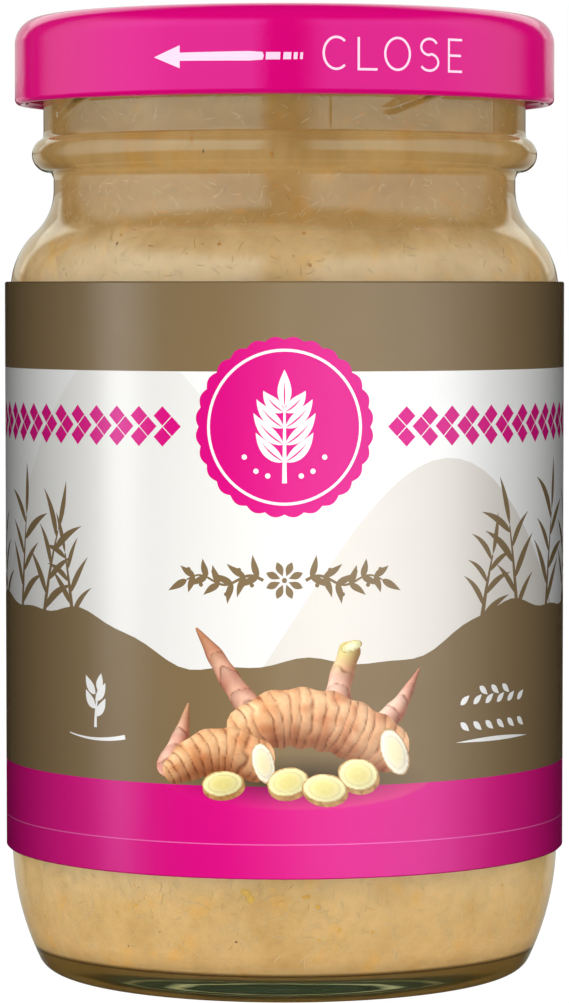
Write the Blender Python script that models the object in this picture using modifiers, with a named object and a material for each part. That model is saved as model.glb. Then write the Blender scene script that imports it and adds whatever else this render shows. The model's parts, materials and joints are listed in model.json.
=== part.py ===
"""Small glass jar of galangal paste with a twist-off lid and a wraparound label.

Five pieces: the glass jar, the paste that fills it, the label round its body, the pressed
metal lid and the soft gasket in the lid's channel. The jar's neck carries four thread ramps,
and the lid's rolled edge carries the four lugs that run under them.

Dimensions are in millimetres and become metres in the mesh. +Z is up, the origin is the
centre of the circle that the jar stands on, and the label's face looks along -Y.
"""
import math

import bmesh
import bpy
from mathutils import Matrix

MM = 0.001
SEGMENTS = 48
MERGE_DISTANCE = 1e-6

# Driving sizes of the glass
BODY_RADIUS = 26.05
BODY_WALL = 2.45
NECK_RADIUS = 22.9
NECK_WALL = 2.2
THROAT_RADIUS = 21.95
THROAT_TOP_Z = 75.3
RIM_Z = 88.7
RIM_INNER_CORNER = 0.6
RIM_OUTER_CORNER = 0.9
BEAD_RADIUS = 24.0
BEAD_Z = 77.5
BEAD_HALF_HEIGHT = 1.65
SHOULDER_TOP_Z = 74.2
SHOULDER_UPPER_ARC = 5.5
SHOULDER_LOWER_ARC = 7.4
HEEL_TOP_Z = 12.5
HEEL_ARC = 26.4
FOOT_TOP_Z = 1.2
FOOT_RING_INNER_RADIUS = 20.2
PUSH_UP = 0.9
FLOOR_Z = 2.7
FLOOR_ARC = 2.2

# The inside of the shoulder starts lower than the outside, which keeps the wall thick
INNER_SHOULDER_TOP_Z = 72.4
INNER_SHOULDER_UPPER_ARC = 6.5
INNER_SHOULDER_LOWER_ARC = 6.0

# Neighbouring pieces keep this gap
GAP = 0.3

# The paste's top under the headspace, as shares of its radius with heights above PASTE_TOP_Z
PASTE_TOP_Z = 83.5
PASTE_HEAP = ((0.0, 0.3), (0.3, 0.1), (0.6, -0.35), (0.85, -0.3), (1.0, 0.2))

# The label
LABEL_BOTTOM_Z = 11.9
LABEL_TOP_Z = 65.5
LABEL_THICKNESS = 0.25
LABEL_BACK_GAP = 4.0

# The lid, with heights measured from its lower edge
LID_LOWER_Z = 82.2
LID_RADIUS = 25.6
LID_HEIGHT = 8.2
LID_SHEET = 0.35
LID_CORNER = 2.5
LID_CURL_RADIUS = 0.53
LID_RIDGE_INNER_RADIUS = 20.7
LID_PANEL_RADIUS = 19.4
LID_PANEL_DEPTH = 1.0
LID_BEND = 0.6
LID_BEND_RISE = 0.15

# The safety button in the lid's middle, as shares of its radius and of its rise
LID_BUTTON_RADIUS = 9.6
LID_BUTTON_RISE = 0.45
LID_BUTTON_DOME = ((0.0, 1.0), (0.5, 0.9), (0.86, 0.55), (1.0, 0.0))

# The thread: four ramps on the neck and four lugs under them
STARTS = 4
LEAD = 12.0
RAMP_STEPS = 13
RAMP_HEIGHT = 1.2
RAMP_REACH = 1.1
RAMP_ROOT = 0.7
RAMP_UNDER_SLOPE = 0.2
RAMP_UPPER_SLOPE = 0.55
RAMP_SEAT_BEFORE = 10.0
RAMP_SEAT_AFTER = 66.0
RAMP_RUN_OUT = 24.0
RAMP_RUN_OUT_DROP = 2.2
RAMP_TAPER = 10.0
RAMP_END_SHARE = 0.25
LUG_WIDTH = 6.4
LUG_HEIGHT = 1.15
LUG_INNER_RADIUS = 23.3
LUG_OUTER_RADIUS = 24.9
LUG_EDGE = 0.25
LUG_ANGLE = -32.0

# The gasket
GASKET_INNER_RADIUS = 20.9
GASKET_OUTER_RADIUS = 23.3
GASKET_THICKNESS = 0.72
GASKET_EDGE = 0.15
GASKET_GAP = 0.28


def clear_scene():
    for old in list(bpy.data.objects):
        bpy.data.objects.remove(old, do_unlink=True)


def new_collection(name):
    collection = bpy.data.collections.new(name)
    bpy.context.scene.collection.children.link(collection)
    return collection


def material(name, colour, roughness, metallic=0.0, transmission=0.0):
    made = bpy.data.materials.new(name)
    made.use_nodes = True
    shader = made.node_tree.nodes["Principled BSDF"]
    shader.inputs["Base Color"].default_value = (*colour, 1.0)
    shader.inputs["Roughness"].default_value = roughness
    shader.inputs["Metallic"].default_value = metallic
    shader.inputs["Transmission Weight"].default_value = transmission
    made.diffuse_color = (*colour, 1.0)
    return made


def arc(centre_r, centre_z, radius, start, end, steps):
    """Points of an arc in the profile's plane, from start to end in degrees."""
    points = []
    for step in range(steps + 1):
        angle = math.radians(start + (end - start) * step / steps)
        points.append((centre_r + radius * math.cos(angle), centre_z + radius * math.sin(angle)))
    return points


def shoulder(top_r, top_z, bottom_r, upper_arc, lower_arc, steps):
    """Two arcs that flow into each other, from the throat out and down to the body's wall."""
    sweep = math.degrees(math.acos(1 - (bottom_r - top_r) / (upper_arc + lower_arc)))
    upper = arc(top_r + upper_arc, top_z, upper_arc, 180, 180 + sweep, steps)
    drop = (upper_arc + lower_arc) * math.sin(math.radians(sweep))
    lower = arc(bottom_r - lower_arc, top_z - drop, lower_arc, sweep, 0, steps)
    return upper + lower[1:]


def turned(name, profile, finish, collection, segments=SEGMENTS, closed=False):
    """A solid of revolution. The profile runs down its outer side, top to bottom."""
    mesh = bpy.data.meshes.new(name)
    corners = [(r * MM, 0.0, z * MM) for r, z in profile]
    edges = [(i, i + 1) for i in range(len(corners) - 1)]
    if closed:
        edges.append((len(corners) - 1, 0))
    mesh.from_pydata(corners, edges, [])
    made = bpy.data.objects.new(name, mesh)
    made.data.materials.append(finish)
    collection.objects.link(made)
    screw = made.modifiers.new("turn", "SCREW")
    screw.axis = "Z"
    screw.steps = segments
    screw.render_steps = segments
    screw.use_merge_vertices = True
    screw.merge_threshold = MERGE_DISTANCE
    screw.use_smooth_shade = True
    return made


def boolean(target, operation, cutters):
    cut = target.modifiers.new(operation.lower(), "BOOLEAN")
    cut.operation = operation
    cut.solver = "EXACT"
    cut.operand_type = "COLLECTION"
    cut.collection = cutters
    return cut


def block_of(name, size):
    """A block centred on its own origin, with its size in millimetres."""
    shape = bmesh.new()
    bmesh.ops.create_cube(shape, size=MM, matrix=Matrix.Diagonal((*size, 1.0)))
    mesh = bpy.data.meshes.new(name)
    shape.to_mesh(mesh)
    shape.free()
    return bpy.data.objects.new(name, mesh)


def as_cutter(made, cutters):
    made.hide_render = True
    made.display_type = "WIRE"
    cutters.objects.link(made)
    return made


def rim_profile(inner_r):
    """The mouth's rounded lip, from the bore over the top to the neck's outside."""
    points = arc(inner_r + RIM_INNER_CORNER, RIM_Z - RIM_INNER_CORNER, RIM_INNER_CORNER, 180, 90, 3)
    points += arc(NECK_RADIUS - RIM_OUTER_CORNER, RIM_Z - RIM_OUTER_CORNER, RIM_OUTER_CORNER, 90, 0, 3)
    return points


def bead_profile():
    """The ring below the thread, nearly half round, and the throat under it."""
    centre = BEAD_RADIUS - BEAD_HALF_HEIGHT
    points = arc(centre, BEAD_Z, BEAD_HALF_HEIGHT, 68, -95, 9)
    points.append((THROAT_RADIUS, THROAT_TOP_Z))
    return points


def foot_profile():
    """The heel's long curve, its small corner, the standing ring and the hollow under it."""
    heel_centre = BODY_RADIUS - HEEL_ARC
    fall = math.degrees(math.asin((HEEL_TOP_Z - FOOT_TOP_Z) / HEEL_ARC))
    points = arc(heel_centre, HEEL_TOP_Z, HEEL_ARC, 0, -fall, 5)
    corner_r, corner_z = points[-1]
    turn = math.radians(fall)
    corner_arc = corner_z / (1 - math.sin(turn))
    corner_centre = corner_r - corner_arc * math.cos(turn)
    points += arc(corner_centre, corner_arc, corner_arc, -fall, -90, 5)[1:]
    for share in (1.0, 0.72, 0.4, 0.0):
        points.append((FOOT_RING_INNER_RADIUS * share, PUSH_UP * (1 - share * share)))
    return points


def inside_profile(offset):
    """The jar's inside from the floor's centre up to the throat, drawn in by an offset."""
    wall_r = BODY_RADIUS - BODY_WALL
    bore_r = NECK_RADIUS - NECK_WALL
    corner = FLOOR_ARC - offset
    floor_z = FLOOR_Z + offset
    points = [(0.0, floor_z)]
    points += arc(wall_r - FLOOR_ARC, FLOOR_Z + FLOOR_ARC, corner, -90, 0, 5)
    rise = shoulder(bore_r - offset, INNER_SHOULDER_TOP_Z, wall_r - offset,
                    INNER_SHOULDER_UPPER_ARC, INNER_SHOULDER_LOWER_ARC, 4)
    points += rise[::-1]
    return points


def jar_profile():
    bore_r = NECK_RADIUS - NECK_WALL
    points = inside_profile(0.0)
    points += rim_profile(bore_r)
    points += bead_profile()
    points += shoulder(THROAT_RADIUS, SHOULDER_TOP_Z, BODY_RADIUS,
                       SHOULDER_UPPER_ARC, SHOULDER_LOWER_ARC, 5)
    points += foot_profile()
    return points


def ramp_underside(turn, seat_z):
    """Height of a ramp's underside at an angle measured anticlockwise from its closed lug."""
    height = seat_z + turn / 360 * LEAD
    past = -RAMP_SEAT_BEFORE - turn
    if past > 0:
        height -= RAMP_RUN_OUT_DROP * (past / RAMP_RUN_OUT) ** 1.5
    return height


def thread_ramp(name, closed_angle, cutters):
    """One raised ramp of the thread, lofted along the neck and thinned out at its ends."""
    seat_z = LID_LOWER_Z + LUG_HEIGHT + GAP
    first = -RAMP_SEAT_BEFORE - RAMP_RUN_OUT
    last = RAMP_SEAT_AFTER
    root_r = NECK_RADIUS - RAMP_ROOT
    shape = bmesh.new()
    rings = []
    for step in range(RAMP_STEPS + 1):
        turn = first + (last - first) * step / RAMP_STEPS
        to_end = min(turn - first, last - turn)
        reach = NECK_RADIUS + RAMP_REACH * min(1.0, to_end / RAMP_TAPER + RAMP_END_SHARE)
        low = ramp_underside(turn, seat_z)
        high = low + RAMP_HEIGHT
        section = [(root_r, low), (reach, low + RAMP_UNDER_SLOPE),
                   (reach, high - RAMP_UPPER_SLOPE), (root_r, high)]
        angle = math.radians(closed_angle + turn)
        ring = [shape.verts.new((r * MM * math.cos(angle), r * MM * math.sin(angle), z * MM))
                for r, z in section]
        rings.append(ring)
    for before, after in zip(rings, rings[1:]):
        for corner in range(4):
            following = (corner + 1) % 4
            shape.faces.new((before[corner], after[corner], after[following], before[following]))
    shape.faces.new(rings[0])
    shape.faces.new(rings[-1][::-1])
    bmesh.ops.recalc_face_normals(shape, faces=shape.faces)
    mesh = bpy.data.meshes.new(name)
    shape.to_mesh(mesh)
    shape.free()
    return as_cutter(bpy.data.objects.new(name, mesh), cutters)


def build_jar(parts):
    finish = material("clear_glass", (0.80, 0.86, 0.78), 0.03, transmission=1.0)
    jar = turned("glass_jar", jar_profile(), finish, parts)
    ramps = new_collection("thread_ramps")
    for start in range(STARTS):
        thread_ramp(f"ramp_{start}", LUG_ANGLE + start * 360 / STARTS, ramps)
    boolean(jar, "UNION", ramps)
    return jar


def build_paste(parts):
    """The filling, with a slightly heaped top that climbs a little at the glass."""
    finish = material("galangal_paste", (0.66, 0.47, 0.24), 0.55)
    inside = inside_profile(GAP)[::-1]
    wall_r = inside[0][0]
    top = [(wall_r * share, PASTE_TOP_Z + rise) for share, rise in PASTE_HEAP]
    return turned("paste", top + inside, finish, parts)


def build_label(parts):
    """A thin sleeve round the body, with a strip of bare glass between its ends at the back."""
    finish = material("printed_label", (0.80, 0.77, 0.72), 0.5)
    inner = BODY_RADIUS + GAP
    outer = inner + LABEL_THICKNESS
    profile = [(outer, LABEL_TOP_Z), (outer, LABEL_BOTTOM_Z), (inner, LABEL_BOTTOM_Z),
               (inner, LABEL_TOP_Z)]
    label = turned("label", profile, finish, parts, closed=True)
    cutters = new_collection("label_gap")
    label_height = LABEL_TOP_Z - LABEL_BOTTOM_Z
    block = block_of("label_gap_cutter", (LABEL_BACK_GAP, BODY_WALL, label_height + BODY_WALL))
    block.location = (0, outer * MM, (LABEL_TOP_Z + LABEL_BOTTOM_Z) / 2 * MM)
    as_cutter(block, cutters)
    boolean(label, "DIFFERENCE", cutters)
    return label


def lid_face(top, shift, corner):
    """One face of the lid's sheet: the button, the sunk panel, the step, the ridge, the corner."""
    panel = top - LID_PANEL_DEPTH
    points = [(LID_BUTTON_RADIUS * share, panel + LID_BUTTON_RISE * rise)
              for share, rise in LID_BUTTON_DOME]
    points += [(LID_PANEL_RADIUS - LID_BEND + shift, panel),
               (LID_PANEL_RADIUS + shift, panel + LID_BEND_RISE),
               (LID_RIDGE_INNER_RADIUS - LID_BEND + shift, top - LID_BEND_RISE),
               (LID_RIDGE_INNER_RADIUS + shift, top)]
    points += arc(LID_RADIUS - LID_CORNER, LID_HEIGHT - LID_CORNER, corner, 90, 0, 5)
    return points


def lid_profile():
    """The pressed sheet, with its foot rolled inwards."""
    outside = lid_face(LID_HEIGHT, 0.0, LID_CORNER)
    inside = lid_face(LID_HEIGHT - LID_SHEET, LID_SHEET * 0.6, LID_CORNER - LID_SHEET)
    curl = arc(LID_RADIUS - LID_CURL_RADIUS, LID_CURL_RADIUS, LID_CURL_RADIUS, 0, -215, 8)
    wall_foot = (LID_RADIUS - LID_SHEET, 2 * LID_CURL_RADIUS + LID_BEND_RISE)
    return outside + curl + [wall_foot] + inside[::-1]


def lug(name, angle, axis, cutters):
    """A tab pressed inwards from the curl. It is a little rounded block sunk into the curl."""
    reach = LUG_OUTER_RADIUS - LUG_INNER_RADIUS
    made = as_cutter(block_of(name, (reach, LUG_WIDTH, LUG_HEIGHT)), cutters)
    middle = (LUG_OUTER_RADIUS + LUG_INNER_RADIUS) / 2 * MM
    turn = math.radians(angle)
    made.rotation_euler = (0, 0, turn)
    made.location = (middle * math.cos(turn), middle * math.sin(turn), LUG_HEIGHT / 2 * MM)
    made.parent = axis
    bevel = made.modifiers.new("soft_edges", "BEVEL")
    bevel.width = LUG_EDGE * MM
    bevel.segments = 1
    return made


def build_lid(parts, axis):
    finish = material("pink_lacquer", (0.76, 0.02, 0.26), 0.22)
    lid = turned("lid", lid_profile(), finish, parts)
    lid.parent = axis
    lugs = new_collection("lid_lugs")
    for start in range(STARTS):
        lug(f"lug_{start}", LUG_ANGLE + start * 360 / STARTS, axis, lugs)
    boolean(lid, "UNION", lugs)
    return lid


def build_gasket(parts, axis):
    """The soft ring in the lid's channel that seals on the glass rim."""
    finish = material("white_compound", (0.82, 0.80, 0.74), 0.6)
    low = RIM_Z - LID_LOWER_Z + GASKET_GAP
    high = low + GASKET_THICKNESS
    edge = GASKET_EDGE
    profile = [(GASKET_INNER_RADIUS + edge, high), (GASKET_OUTER_RADIUS - edge, high),
               (GASKET_OUTER_RADIUS, high - edge), (GASKET_OUTER_RADIUS, low + edge),
               (GASKET_OUTER_RADIUS - edge, low), (GASKET_INNER_RADIUS + edge, low),
               (GASKET_INNER_RADIUS, low + edge), (GASKET_INNER_RADIUS, high - edge)]
    gasket = turned("lid_gasket", profile, finish, parts, closed=True)
    gasket.parent = axis
    return gasket


def main():
    clear_scene()
    parts = new_collection("galangal_paste_jar")
    lid_axis = bpy.data.objects.new("lid_axis", None)
    lid_axis.location = (0, 0, LID_LOWER_Z * MM)
    parts.objects.link(lid_axis)
    build_jar(parts)
    build_paste(parts)
    build_label(parts)
    build_lid(parts, lid_axis)
    build_gasket(parts, lid_axis)


main()
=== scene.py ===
"""Looks of the galangal paste jar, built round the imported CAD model.

Glass, paste, label, lid and gasket each get a finer mesh and a procedural material. Sizes are in
millimetres unless a name says otherwise. Outer sizes come from the frame, and the shapes inside
them repeat the CAD's own named sizes. Angles round the jar are in degrees from the front (-Y),
positive towards +X, and the label's layout is drawn flat in (along, up) before it is wrapped.
"""

import json
import math
import random

import bpy
import numpy as np
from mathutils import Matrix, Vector
from mathutils.geometry import delaunay_2d_cdt

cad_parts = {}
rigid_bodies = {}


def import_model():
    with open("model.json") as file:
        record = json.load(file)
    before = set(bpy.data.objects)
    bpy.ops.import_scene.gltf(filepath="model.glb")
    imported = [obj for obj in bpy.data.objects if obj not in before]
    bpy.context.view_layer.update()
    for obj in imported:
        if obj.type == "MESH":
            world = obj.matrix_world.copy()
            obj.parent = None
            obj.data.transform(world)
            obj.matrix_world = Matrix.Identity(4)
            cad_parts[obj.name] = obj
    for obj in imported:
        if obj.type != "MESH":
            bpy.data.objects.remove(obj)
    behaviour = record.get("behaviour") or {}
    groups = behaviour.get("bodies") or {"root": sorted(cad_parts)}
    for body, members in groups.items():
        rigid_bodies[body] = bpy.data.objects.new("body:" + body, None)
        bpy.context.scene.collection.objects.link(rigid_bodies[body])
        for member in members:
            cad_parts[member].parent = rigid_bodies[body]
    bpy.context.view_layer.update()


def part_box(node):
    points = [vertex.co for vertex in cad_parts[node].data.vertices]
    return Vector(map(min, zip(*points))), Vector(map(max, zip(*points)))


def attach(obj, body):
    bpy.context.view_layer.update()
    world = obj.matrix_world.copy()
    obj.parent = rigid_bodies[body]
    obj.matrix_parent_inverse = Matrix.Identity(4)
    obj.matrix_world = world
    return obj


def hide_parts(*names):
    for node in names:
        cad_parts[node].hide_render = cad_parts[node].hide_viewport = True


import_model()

MM = 0.001
ON_AXIS = 1e-6

# Outer sizes, read from the frame
LABEL_LOW, LABEL_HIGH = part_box("label")
LID_LOW, LID_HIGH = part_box("lid")
GLASS_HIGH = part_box("glass_jar")[1]
GASKET_LOW, GASKET_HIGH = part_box("lid_gasket")
LABEL_RADIUS = LABEL_HIGH.x / MM
LABEL_BOTTOM_Z = LABEL_LOW.z / MM
LABEL_TOP_Z = LABEL_HIGH.z / MM
LID_RADIUS = LID_HIGH.x / MM
LID_LOWER_Z = LID_LOW.z / MM
LID_HEIGHT = LID_HIGH.z / MM - LID_LOWER_Z
BODY_RADIUS = GLASS_HIGH.x / MM
RIM_Z = GLASS_HIGH.z / MM

# The glass, as in the CAD
BODY_WALL = 2.45
NECK_RADIUS = 22.9
NECK_WALL = 2.2
THROAT_RADIUS = 21.95
THROAT_TOP_Z = 75.3
RIM_INNER_CORNER = 0.6
RIM_OUTER_CORNER = 0.9
BEAD_RADIUS = 24.0
BEAD_Z = 77.5
BEAD_HALF_HEIGHT = 1.65
BEAD_SWEEP = (68, -95)
THREAD_FOOT_Z = 79.6
SHOULDER_TOP_Z = 74.2
SHOULDER_UPPER_ARC = 5.5
SHOULDER_LOWER_ARC = 7.4
HEEL_TOP_Z = 12.5
HEEL_ARC = 26.4
FOOT_TOP_Z = 1.2
FOOT_RING_INNER_RADIUS = 20.2
PUSH_UP = 0.9
FLOOR_Z = 2.7
FLOOR_ARC = 2.2
INNER_SHOULDER_TOP_Z = 72.4
INNER_SHOULDER_UPPER_ARC = 6.5
INNER_SHOULDER_LOWER_ARC = 6.0
STARTS = 4
LEAD = 12.0
RAMP_HEIGHT = 1.2
RAMP_REACH = 1.1
RAMP_UNDER = (0.0, 0.6)
RAMP_UPPER = (0.21, 0.55)
RAMP_SEAT_BEFORE = 10.0
RAMP_SEAT_AFTER = 66.0
RAMP_RUN_OUT = 24.0
RAMP_RUN_OUT_DROP = 2.2
RAMP_TAPER = 10.0
RAMP_END_SHARE = 0.25
RAMP_START_SLOPE = 0.18
LUG_ANGLE = -32.0
LUG_CLEARANCE = 0.3

# How fine the glass is: columns round it, steps in its arcs, and the longest stretch between rings
GLASS_COLUMNS = 204
RIM_STEPS = (5, 6)
BEAD_STEPS = 26
SHOULDER_STEPS = 18
HEEL_STEPS = 22
FOOT_CORNER_STEPS = 14
PUSH_UP_STEPS = 22
INSIDE_STEPS = 12
THREAD_STRETCH = 0.1
THROAT_STRETCH = 0.3
BORE_STRETCH = 1.5
INSIDE_STRETCH = 2.0
FOOT_STRETCH = 4.0
WALL_STRETCH = 6.0

# Fine relief that only the looks have
SEAM_ANGLES = (10.8, 56.9, -169.2, -123.1)
SEAM_WIDTH = 0.16
SEAM_RISE = 0.05
SEAM_COLUMNS = (-1.0, -0.6, -0.4, -0.2, 0.0, 0.2, 0.4, 0.6, 1.0)
RIPPLE = 0.05
WETTING = 0.02

# The paste
PASTE_TOP_Z = 83.5
PASTE_COLUMNS = 168
PASTE_TOP_RINGS = 16
PASTE_WALL_STRETCH = 1.2
PASTE_NECK_STRETCH = 1.0
PASTE_LUMP = 0.45

# Fibres and specks in the paste. Their sizes are drawn as shares of their kind's own size, and
# their bends in degrees.
FLECK_SEED = 11
STRAND_STEPS = 5
SPECK_SIDES = 9
FLECK_CREASE = 60
STRAND_LENGTHS = (0.5, 1.3)
STRAND_WIDTHS = (0.6, 1.2)
STRAND_BENDS = (-60, 60)
SPECK_WIDTHS = (0.6, 1.7)
SPECK_HEIGHTS = (0.45, 0.9)
SPECK_REACHES = (0.75, 1.15)
LOW_BAND = (4.6, 13.4)
HIGH_BAND = (62.5, 83.2)
BEAD_BAND = (75.2, 79.8)
# The kinds: name, displayed colour, band of heights, count, half width and length, which is 0
# for a speck
FLECKS = (("pale_low", (224, 190, 134), LOW_BAND, 900, 0.038, 1.35),
          ("straw_low", (226, 186, 108), LOW_BAND, 260, 0.04, 1.1),
          ("tan_low", (200, 160, 104), LOW_BAND, 160, 0.035, 0.8),
          ("pale_high", (196, 160, 112), HIGH_BAND, 1500, 0.045, 0.9),
          ("straw_high", (190, 146, 78), HIGH_BAND, 300, 0.045, 0.85),
          ("tan_high", (142, 104, 60), HIGH_BAND, 240, 0.03, 0.7),
          ("gold_speck", (240, 180, 84), LOW_BAND, 50, 0.16, 0.0),
          ("amber_speck", (192, 132, 60), HIGH_BAND, 130, 0.15, 0.0),
          ("brown_speck", (140, 84, 44), LOW_BAND, 22, 0.06, 0.0),
          ("dark_speck", (92, 60, 34), HIGH_BAND, 46, 0.06, 0.0))
# Specks with a place of their own: name of the kind, angle, height, half width and half height
PLACED_SPECKS = (("gold_speck", -8.3, 10.5, 0.62, 0.42), ("gold_speck", -7.2, 9.9, 0.4, 0.5),
                 ("gold_speck", 4.6, 10.1, 0.5, 0.22), ("brown_speck", -36.2, 5.0, 0.13, 0.12),
                 ("brown_speck", -10.4, 6.0, 0.15, 0.1), ("amber_speck", 19.1, 80.6, 0.42, 0.2),
                 ("dark_speck", -41.1, 68.2, 0.13, 0.12), ("amber_speck", -31.0, 71.5, 0.8, 0.22),
                 ("amber_speck", -10.8, 71.6, 0.6, 0.2))

# The lid, with heights measured from its lower edge, as in the CAD
LID_SHEET = 0.35
LID_CORNER = 2.5
LID_CURL_RADIUS = 0.53
LID_CURL_END = -215
LID_RIDGE_INNER_RADIUS = 20.7
LID_PANEL_RADIUS = 19.4
LID_PANEL_DEPTH = 1.0
LID_BEND = 0.6
LID_BEND_RISE = 0.15
LID_INSIDE_SHIFT = 0.6
LID_BUTTON_RADIUS = 9.6
LID_BUTTON_RISE = 0.45
LID_COLUMNS = 216
LID_BUTTON_STEPS = 20
LID_PANEL_STEPS = 14
LID_CORNER_STEPS = 12
LID_CURL_STEPS = 16
WELD_DIGITS = 4
LUG_WIDTH = 6.4
LUG_HEIGHT = 1.15
LUG_INNER_RADIUS = 23.3
LUG_OUTER_RADIUS = 24.9
LUG_ROUNDNESS = 0.35
LUG_RINGS = 10
LUG_COLUMNS = 24

# The label
LABEL_BACK_GAP = 4.0
LABEL_GLUE_GAP = 0.03
LABEL_EDGE = 0.12
LABEL_COLUMN_STEP = 2.0
CUT_TOLERANCE = 1e-4
LEAST_STRETCH = 1e-3
BAND_LOW_Z = 57.45
STRIPE_TOP_Z = 20.3

# The artwork, in (along, up): along from the front's middle, up from the ground
BORDER_Z = 52.5
BORDER_START = 11.3
BORDER_PITCH = 2.4
LOZENGE_HALF = 0.88
LOZENGE_STEP = 0.94
MEDALLION_RADIUS = 8.1
SCALLOP_STEPS = 8
SPRIG_LEAVES = ((-3.1, 3.7), (-1.55, 4.0), (-0.05, 3.6), (1.35, 2.7))
KEYLINE_Z = 15.0
KEYLINE_HEIGHT = 0.09
GARLAND_Z = 38.8
GARLAND_HALF = 10.9
GROUND_TOP_Z = 31.2
GROUND_RISE = 4.6
HILLS = ((-16.0, 34.0, 38.0, "far_hill"), (17.0, 30.0, 28.5, "near_hill"),
         (-52.0, 30.0, 28.0, "near_hill"), (62.0, 19.5, 31.0, "near_hill"))
LEFT_MARK = (-18.7, 26.6)
RIGHT_MARK = (21.5, 26.4)
SHOOT_SEED = 5
SHOOT_STEPS = 14
SHOOT_LEAF_SPREADS = (26, 40)
SHOOT_LEAF_SIZES = (0.85, 1.1)
SHOOT_LEAF_BENDS = (15, 50)
SHOOTS = ((-36.5, 9.5, -8, 4.6), (-31.0, 10.6, 4, 5.0), (-26.5, 9.8, 10, 4.8),
          (-21.5, 7.5, -6, 4.0), (19.5, 7.5, 8, 4.0), (25.0, 10.0, -5, 4.8),
          (30.5, 11.0, 6, 5.2), (36.5, 9.8, 10, 4.8), (-70.0, 9.5, 5, 4.6),
          (-62.0, 10.8, -6, 5.0), (-50.0, 9.0, 8, 4.6), (48.0, 9.6, -7, 4.8),
          (60.0, 10.8, 5, 5.0), (71.0, 9.0, -8, 4.6))

# The picture: its grid's step, the share of the way to a face's middle at which a corner's colour
# is read, the light's direction, and what scatters the numbers of its noise
PICTURE_STEP = 0.14
INWARD = 0.04
LIGHT = (-0.42, 0.62, 0.66)
LIMB_STRETCH = 0.02
LATTICE = (127.1, 311.7, 74.7, 43758.5453)
RIM_BROWN = (176, 128, 74)

# The lid's print
PRINT_Z = 85.55
ARROW_TIP = -12.15
ARROW_HEAD = -9.6
ARROW_TAIL = -1.95
ARROW_SIDE = ((ARROW_HEAD, 1.02), (ARROW_HEAD, 0.36), (ARROW_TAIL - 1.2, 0.42),
              (ARROW_TAIL, 0.34))
ARROW_DASHES = ((-1.68, -0.40, 0.33), (-0.12, 0.58, 0.32), (0.80, 1.14, 0.31), (1.38, 1.62, 0.30))
LACQUERED, PRINTED, LINED = 0, 1, 2
LETTER_HEIGHT = 2.85
LETTER_WIDTH = 3.2
LETTER_BASE_Z = 84.4
LETTER_STROKE = 0.21
LETTER_LEFTS = (3.5, 6.7, 9.2, 12.7, 15.8)

# The gasket
GASKET_WIDTH = 2.4
GASKET_CORNER = 0.15
GASKET_CORNER_STEPS = 5

# The studio. Directions are as seen from the jar, in degrees of azimuth from the camera's side and
# of height. A box has the angle that it is measured by ("around" is the same on both sides), its
# sides and their softness, its floor and ceiling, and its strength. A flag darkens a zone, and
# ends with the softness of its floor and ceiling and its depth. A lamp has its azimuth, height,
# strength and spread. FLOOR_FADE has two distances in metres and the share of white at each.
FLOOR_RADIUS = 2500.0
FLOOR_SIDES = 64
FLOOR_FADE = (0.03, 0.2, 0.92, 1.0)
FLOOR_GLOW = 1.05
BOX_SHELL_RADIUS = 3000.0
BOX_GAP = 0.02
BOX_SHELL_SIDES = (48, 24)
BOX_SOFTNESS = 10.0
BOXES = (("azimuth", -125.0, -9.6, 5.0, -12.0, 45.0, 1.7),
         ("azimuth", 12.0, 121.0, 8.0, -12.0, 45.0, 1.5),
         ("azimuth", -125.0, -60.0, 14.0, -12.0, 45.0, 0.7),
         ("azimuth", 75.0, 121.0, 12.0, -12.0, 45.0, 0.4),
         ("azimuth", -100.0, -9.6, 5.0, 22.0, 49.0, 0.3),
         ("azimuth", 12.0, 100.0, 7.0, 26.0, 49.0, 0.15),
         ("around", 146.0, 190.0, 4.0, -12.0, 50.0, 1.15))
FALL_OFF = (55.0, 125.0, 0.13)
BACK_FROM = (131.0, 135.0)
BACK_ZONE = (134.0, 200.0, 4.0)
FLAGS = ((167.0, 176.0, 1.0, -6.0, 3.2, 0.3, 1.0),
         (140.0, 190.0, 3.0, -20.0, 6.5, 1.0, 0.5),
         (150.0, 190.0, 3.0, 6.5, 17.0, 1.0, 0.5),
         (128.0, 190.0, 3.0, 1.75, 3.4, 0.3, 0.55))
BOX_COLOUR = (1.02, 1.3, 1.27, 1.0)
BACK_COLOUR = (1.04, 1.1, 1.0, 1.0)
OPEN_LAMPS = ((0.0, 0.0, 1.7, 90.0), (60.0, 0.0, 1.5, 90.0), (120.0, 0.0, 1.7, 90.0),
              (180.0, 0.0, 1.7, 90.0), (-120.0, 0.0, 1.7, 90.0), (-60.0, 0.0, 1.7, 90.0),
              (0.0, 89.0, 1.6, 90.0), (0.0, -70.0, 0.5, 90.0))
LABEL_LAMPS = ((0.0, 5.0, 1.55, 40.0), (180.0, 8.0, 3.4, 60.0), (-100.0, 8.0, 0.42, 60.0),
               (100.0, 8.0, 0.36, 60.0))
SHEEN_LAMPS = ((-70.0, 4.0, 0.8, 19.0), (45.0, 4.0, 7.0, 74.0))
NEAR_LAMP_DISTANCE = 133.0
NEAR_LAMP_SIZE = (12.0, 60.0)
NEAR_LAMP_POWER = 0.08

# The camera, set so that the jar fills the frame as in the photograph
CAMERA_DISTANCE = 400.0
CAMERA_Z = 64.9
CAMERA_PITCH = 2.917
FOCAL_PIXELS = 4190.0
PHOTO_HEIGHT = 1003
SENSOR_WIDTH = 36.0
CAMERA_CLIP_METRES = (0.01, 20.0)

# Colours as displayed, 0 to 255
LID_PINK = (204, 2, 111)
LID_PRINT = (240, 202, 224)
LID_LINING = (232, 228, 214)
GASKET_WHITE = (232, 228, 216)
INK_PINK = (224, 14, 132)
INK_OLIVE = (134, 112, 78)
PASTE_BEIGE = (205, 170, 120)

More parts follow.
